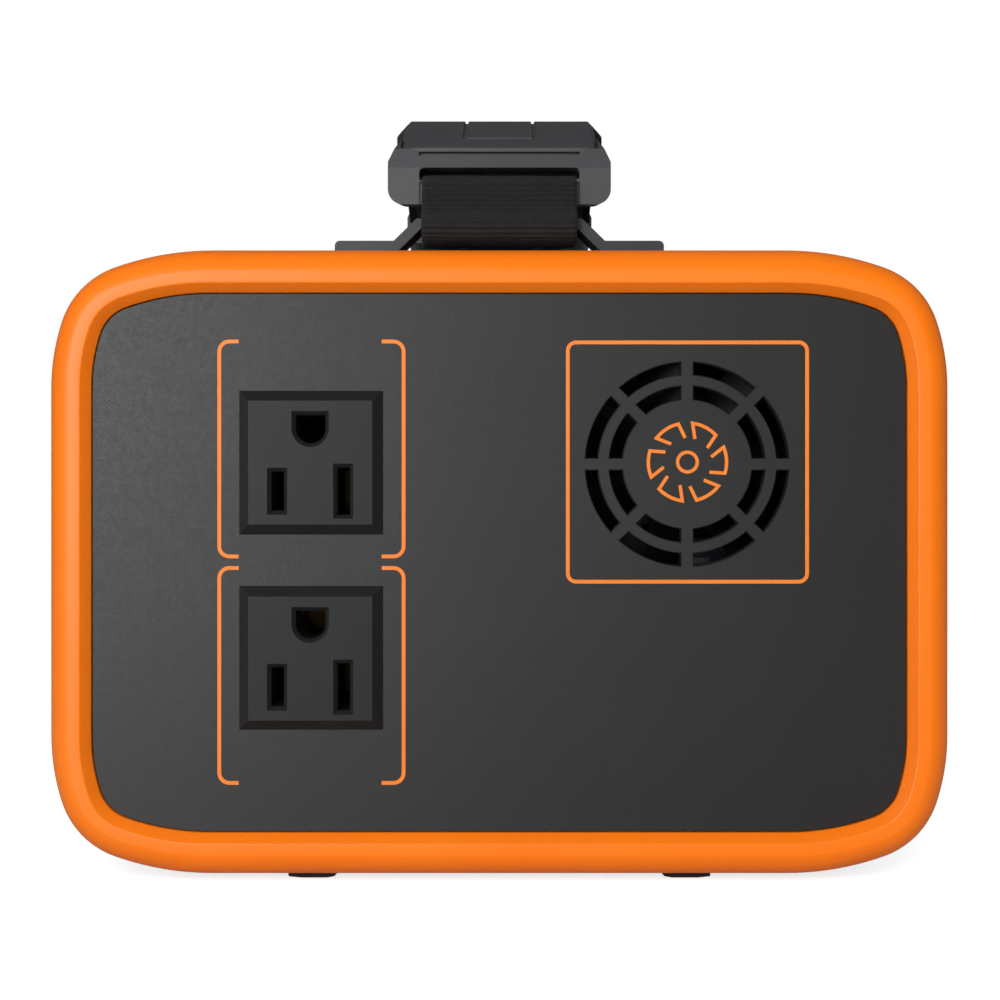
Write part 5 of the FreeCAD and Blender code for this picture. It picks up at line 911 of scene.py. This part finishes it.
# ---- webbing ----
@dataclass
class Webbing:
    """Ribbed webbing from the bracket bar up into the grip's end frame."""

    node: str
    bracket: str
    face: Face
    width: float = 30.6 * MM
    thickness: float = 1.4 * MM
    rib_pitch: float = 1.0 * MM
    rib_height: float = 0.36 * MM
    cord_pitch: float = 0.60 * MM
    cord_height: float = 0.18 * MM
    step: float = 0.1 * MM
    columns: int = 204
    slack: float = 0.3 * MM
    wave: float = 0.16 * MM
    wave_size: Point2 = (7 * MM, 5 * MM)             # across and along
    wave_layer: float = 1.7                          # where the noise is cut, so that the two differ
    uneven: float = 0.25                             # share of a rib's height that varies
    uneven_size: float = 4 * MM
    uneven_layer: float = 0.3
    selvedge: float = 0.8 * MM                       # the edges thin out over this width
    selvedge_loss: float = 0.55
    curve_steps: int = 24

    def centre_line(self) -> list[Point2]:
        """Side view of the webbing, as (outward, up) pairs: round the bar, then up into the slot."""
        low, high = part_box(self.bracket)
        bar = abs(low.y + high.y) / 2
        frame_front = abs(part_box("front_end_frame")[0].y)
        slot = (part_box("webbing_pins")[0].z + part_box("webbing_pins")[1].z) / 2
        roll = [(-2.0, 1.0), (-4.6, 0.4), (-5.4, -1.4), (-4.4, -3.6), (-0.4, -4.35), (2.8, -4.0),
                (5.1, -2.9), (6.0, -1.2), (5.4, 0.3), (3.9, 0.95)]
        riser = [(1.25, -5.9), (1.1, -3.0), (0.85, -1.6), (-0.3, -0.85), (-2.6, -0.6), (-5.4, -0.4)]
        return ([(bar + y * MM, high.z + z * MM) for y, z in roll]
                + [(frame_front + y * MM, slot + z * MM) for y, z in riser])

    def smooth_line(self) -> list[tuple[Vector, Vector]]:
        """Evenly spaced points of the centre line with their outward normals."""
        corners = [Vector(p) for p in self.centre_line()]
        dense: list[Vector] = []
        padded = [corners[0]] + corners + [corners[-1]]
        for a, b, c, d in zip(padded, padded[1:], padded[2:], padded[3:]):
            for i in range(self.curve_steps):
                t = i / self.curve_steps
                dense.append(0.5 * ((2 * b) + (c - a) * t + (2 * a - 5 * b + 4 * c - d) * t * t
                                    + (3 * b - a - 3 * c + d) * t ** 3))
        dense.append(corners[-1])
        spaced, travelled = [dense[0]], 0.0
        for before, after in zip(dense, dense[1:]):
            length = (after - before).length
            while length > 0 and travelled + length >= self.step:
                share = (self.step - travelled) / length
                before = before.lerp(after, share)
                spaced.append(before)
                length, travelled = (after - before).length, 0.0
            travelled += length
        line = []
        for i, here in enumerate(spaced):
            along = (spaced[min(i + 1, len(spaced) - 1)] - spaced[max(i - 1, 0)]).normalized()
            line.append((here, Vector((along.y, -along.x))))
        return line

    def lift(self, along: float, across: float) -> float:
        """Height of the weave above the middle of the webbing at a place along and across it."""
        rib = abs(math.sin(math.pi * along / self.rib_pitch))
        row = math.floor(along / self.rib_pitch)
        shift = 0.5 * self.cord_pitch * (row % 2)
        cord = abs(math.sin(math.pi * (across + shift) / self.cord_pitch))
        slow = noise.noise(Vector((across, along, self.uneven_layer)) / self.uneven_size)
        height = self.rib_height * (1 - self.uneven + self.uneven * slow) + self.cord_height * cord
        return height * rib

    def surface(self, line: Sequence[tuple[Vector, Vector]], side: int) -> list[Vector]:
        """Points of one woven side, row by row along the webbing."""
        points = []
        for i, (here, out) in enumerate(line):
            along = i * self.step
            for j in range(self.columns + 1):
                across = -self.width / 2 + self.width * j / self.columns
                worn = max(0.0, (abs(across) - self.width / 2 + self.selvedge) / self.selvedge)
                edge = 1 - worn ** 2 * self.selvedge_loss
                body = (self.thickness / 2 - self.rib_height) * edge
                ripple = self.wave * noise.noise(Vector((
                    across / self.wave_size[0], along / self.wave_size[1], self.wave_layer)))
                at = here + out * (side * (body + self.lift(along, across) * edge) + ripple)
                points.append(Vector((across, self.face.value * at.x, at.y)))
        return points

    def faces(self, rows: int) -> list[tuple[int, ...]]:
        """Faces of the two sides, then of the two long edges and the two ends."""
        cols = self.columns + 1

        def index(side: int, i: int, j: int) -> int:
            """Number of a grid point."""
            return (side * rows + i) * cols + j

        faces = [(index(s, i, j), index(s, i, j + 1), index(s, i + 1, j + 1), index(s, i + 1, j))
                 for s in (0, 1) for i in range(rows - 1) for j in range(cols - 1)]
        for j in (0, cols - 1):
            faces += [(index(0, i, j), index(0, i + 1, j), index(1, i + 1, j), index(1, i, j))
                      for i in range(rows - 1)]
        for i in (0, rows - 1):
            faces += [(index(0, i, j), index(0, i, j + 1), index(1, i, j + 1), index(1, i, j))
                      for j in range(cols - 1)]
        return faces

    def build(self) -> Object:
        """Weaves the webbing and hangs it between the case and the handle."""
        line = self.smooth_line()
        points = self.surface(line, 1) + self.surface(line, -1)
        mesh = mesh_of(self.node + "_woven", points, self.faces(len(line)))
        mesh.materials.append(BLACK_YARN.material())
        mesh.polygons.foreach_set("use_smooth", [True] * len(mesh.polygons))
        piece = placed(self.node + "_woven", mesh)
        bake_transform(piece)
        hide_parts(self.node)
        log.info("wove %s with %d faces", piece.name, len(mesh.polygons))
        return piece


# ---- studio ----
@dataclass(frozen=True)
class Softbox:
    """A square softbox aimed at the object; gloss makes it give only a sheen, else it gives only shading."""

    name: str
    at: tuple[float, float, float]
    size: float
    watts: float
    gloss: bool = False

    def build(self) -> None:
        """Hangs the lamp."""
        data = bpy.data.lights.new(self.name, "AREA")
        data.shape, data.size, data.energy = "SQUARE", self.size, self.watts
        made = placed(self.name, data)
        made.visible_glossy, made.visible_diffuse = self.gloss, not self.gloss
        target = (CAD_BOX[0] + CAD_BOX[1]) / 2
        made.location = self.at
        made.rotation_euler = (target - Vector(self.at)).to_track_quat("-Z", "Y").to_euler()


@dataclass
class Studio:
    """Plain pale floor, white surroundings and four softboxes.

    Front, fill and behind shade the shapes; the gloss box on the left is only seen as a sheen.
    """

    eye: tuple[float, float, float] = (0.13 * MM, -341 * MM, 78 * MM)
    lens: float = 54.7
    sensor: float = 36.0
    shift_up: float = -0.018
    softboxes: tuple[Softbox, ...] = (
        Softbox("front", (-0.28, -1.15, 0.5), 0.9, 15.5),
        Softbox("fill", (0.5, -1.0, 0.0), 0.6, 2.4),
        Softbox("gloss", (-0.5, -0.8, 0.24), 0.5, 9.0, gloss=True),
        Softbox("behind", (0.3, 1.2, 0.5), 0.9, 6.0),
    )
    sky_strength: float = 0.12
    floor_reach: float = 6.0
    floor_white: float = 0.85        # the floor as the eye sees it
    floor_bounce: float = 0.6        # the floor as a source of light
    floor_glow: float = 0.74
    floor_fade: tuple[float, float] = (0.2, 0.55)

    def camera(self) -> None:
        """Places the camera level in front of the outlet face."""
        data = bpy.data.cameras.new("camera")
        data.lens, data.sensor_width, data.shift_y = self.lens, self.sensor, self.shift_up
        data.clip_start, data.clip_end = 0.01, 20.0
        made = placed("camera", data)
        made.location = self.eye
        made.rotation_euler = (math.pi / 2, 0, 0)
        bpy.context.scene.camera = made

    def seen_directly(self, tree: NodeTree) -> NodeSocket:
        """1 for rays from the eye or through glass, else 0."""
        path = add_node(tree, "LightPath")
        both = add_node(tree, "Math", {"operation": "MAXIMUM"}, {
            0: path.outputs["Is Camera Ray"], 1: path.outputs["Is Transmission Ray"]})
        return both.outputs[0]

    def sky(self) -> None:
        """White to look at, an even soft grey as light."""
        world = bpy.data.worlds.new("surroundings")
        world.use_nodes = True
        bpy.context.scene.world = world
        tree = world.node_tree
        tree.nodes.clear()
        strength = add_node(tree, "MapRange", inputs={
            "Value": self.seen_directly(tree), "To Min": self.sky_strength, "To Max": 1.0})
        glow = add_node(tree, "Background", inputs={
            "Color": (1, 1, 1, 1), "Strength": strength.outputs["Result"]})
        add_node(tree, "OutputWorld", inputs={"Surface": glow.outputs["Background"]})

    def floor(self) -> None:
        """Pale floor: white far out, and near the object just dim enough to keep its shadow."""
        reach = self.floor_reach
        points = [(-reach, -reach, 0), (reach, -reach, 0), (reach, reach, 0), (-reach, reach, 0)]
        mesh = bpy.data.meshes.new("floor")
        mesh.from_pydata(points, [], [(0, 1, 2, 3)])
        paint = bpy.data.materials.new("floor_white_matt")
        paint.use_nodes = True
        tree = paint.node_tree
        tree.nodes.clear()
        place = add_node(tree, "TexCoord").outputs["Object"]
        away = add_node(tree, "VectorMath", {"operation": "LENGTH"}, {0: place})
        far = add_node(tree, "MapRange", {"interpolation_type": "SMOOTHSTEP"}, {
            "Value": away.outputs["Value"], "From Min": self.floor_fade[0], "From Max": self.floor_fade[1]})
        matt = add_node(tree, "BsdfDiffuse", inputs={"Color": (self.floor_white,) * 3 + (1,)})
        dim = add_node(tree, "BsdfDiffuse", inputs={"Color": (self.floor_bounce,) * 3 + (1,)})
        glow = add_node(tree, "Emission", inputs={"Color": (self.floor_glow,) * 3 + (1,)})
        near = add_node(tree, "AddShader", inputs={0: matt.outputs["BSDF"], 1: glow.outputs[0]})
        white = add_node(tree, "Emission", inputs={"Color": (1, 1, 1, 1)})
        seen = add_node(tree, "MixShader", inputs={
            0: far.outputs["Result"], 1: near.outputs[0], 2: white.outputs[0]})
        mixed = add_node(tree, "MixShader", inputs={
            0: self.seen_directly(tree), 1: dim.outputs["BSDF"], 2: seen.outputs[0]})
        add_node(tree, "OutputMaterial", inputs={"Surface": mixed.outputs["Shader"]})
        mesh.materials.append(paint)
        placed("floor", mesh)

    def build(self) -> None:
        """Sets up the whole studio."""
        self.camera()
        for softbox in self.softboxes:
            softbox.build()
        self.sky()
        self.floor()
        bpy.context.scene.view_settings.view_transform = "Standard"


# ---- the whole ----
RECEPTACLE = Dress(RECEPTACLE_PC, "receptacle_pc")
GRIP_SHELL = Dress(GRIP_NYLON, "grip_nylon")
PAD = Dress(GRIP_TPE, "grip_tpe")
BRACKET = Dress(POWDER_COAT, "bracket_steel")
CAP = Dress(BUTTON_CHARCOAL, "button_silicone")

EASED_NODES: tuple[Easing, ...] = (
    *(Easing(f"{level}_receptacle", Body.CASE, RECEPTACLE, 0.12) for level in ("upper", "lower")),
    *(Easing(f"{end}_bracket", Body.CASE, BRACKET, 0.2) for end in ("front", "rear")),
    Easing("grip_cover", Body.HANDLE, GRIP_SHELL, 0.12),
    Easing("grip_base", Body.HANDLE, GRIP_SHELL, 0.2),
    *(Easing(f"{end}_end_frame", Body.HANDLE, GRIP_SHELL, 0.0) for end in ("front", "rear")),
    *(Easing(f"{side}_grip_pad", Body.HANDLE, PAD, 0.2, 2.0) for side in ("left", "right")),
    Easing("feet", Body.CASE, Dress(FOOT_RUBBER, "foot_rubber"), 0.25),
    Easing("power_button", Body.POWER_CAP, Dress(BUTTON_ORANGE, "button_orange"), 0.1),
    *(Easing(f"{use}_button", body, CAP, 0.1)
      for use, body in (("ac", Body.AC_CAP), ("dc", Body.DC_CAP), ("lamp", Body.LAMP_CAP))),
)


def main() -> None:
    """Builds and dresses every piece, then the studio."""
    dress_cad_nodes(CAD_FINISHES)
    Bezel(Face.OUTLETS, "ac_bezel").build()
    Bezel(Face.CONTROLS, "dc_bezel").build()
    for easing in EASED_NODES:
        easing.build()
    OutletFacePrint().build()
    ControlFacePrint().build()
    Webbing("front_webbing", "front_bracket", Face.OUTLETS).build()
    Webbing("rear_webbing", "rear_bracket", Face.CONTROLS).build()
    Studio().build()


if __name__ == "__main__":
    main()
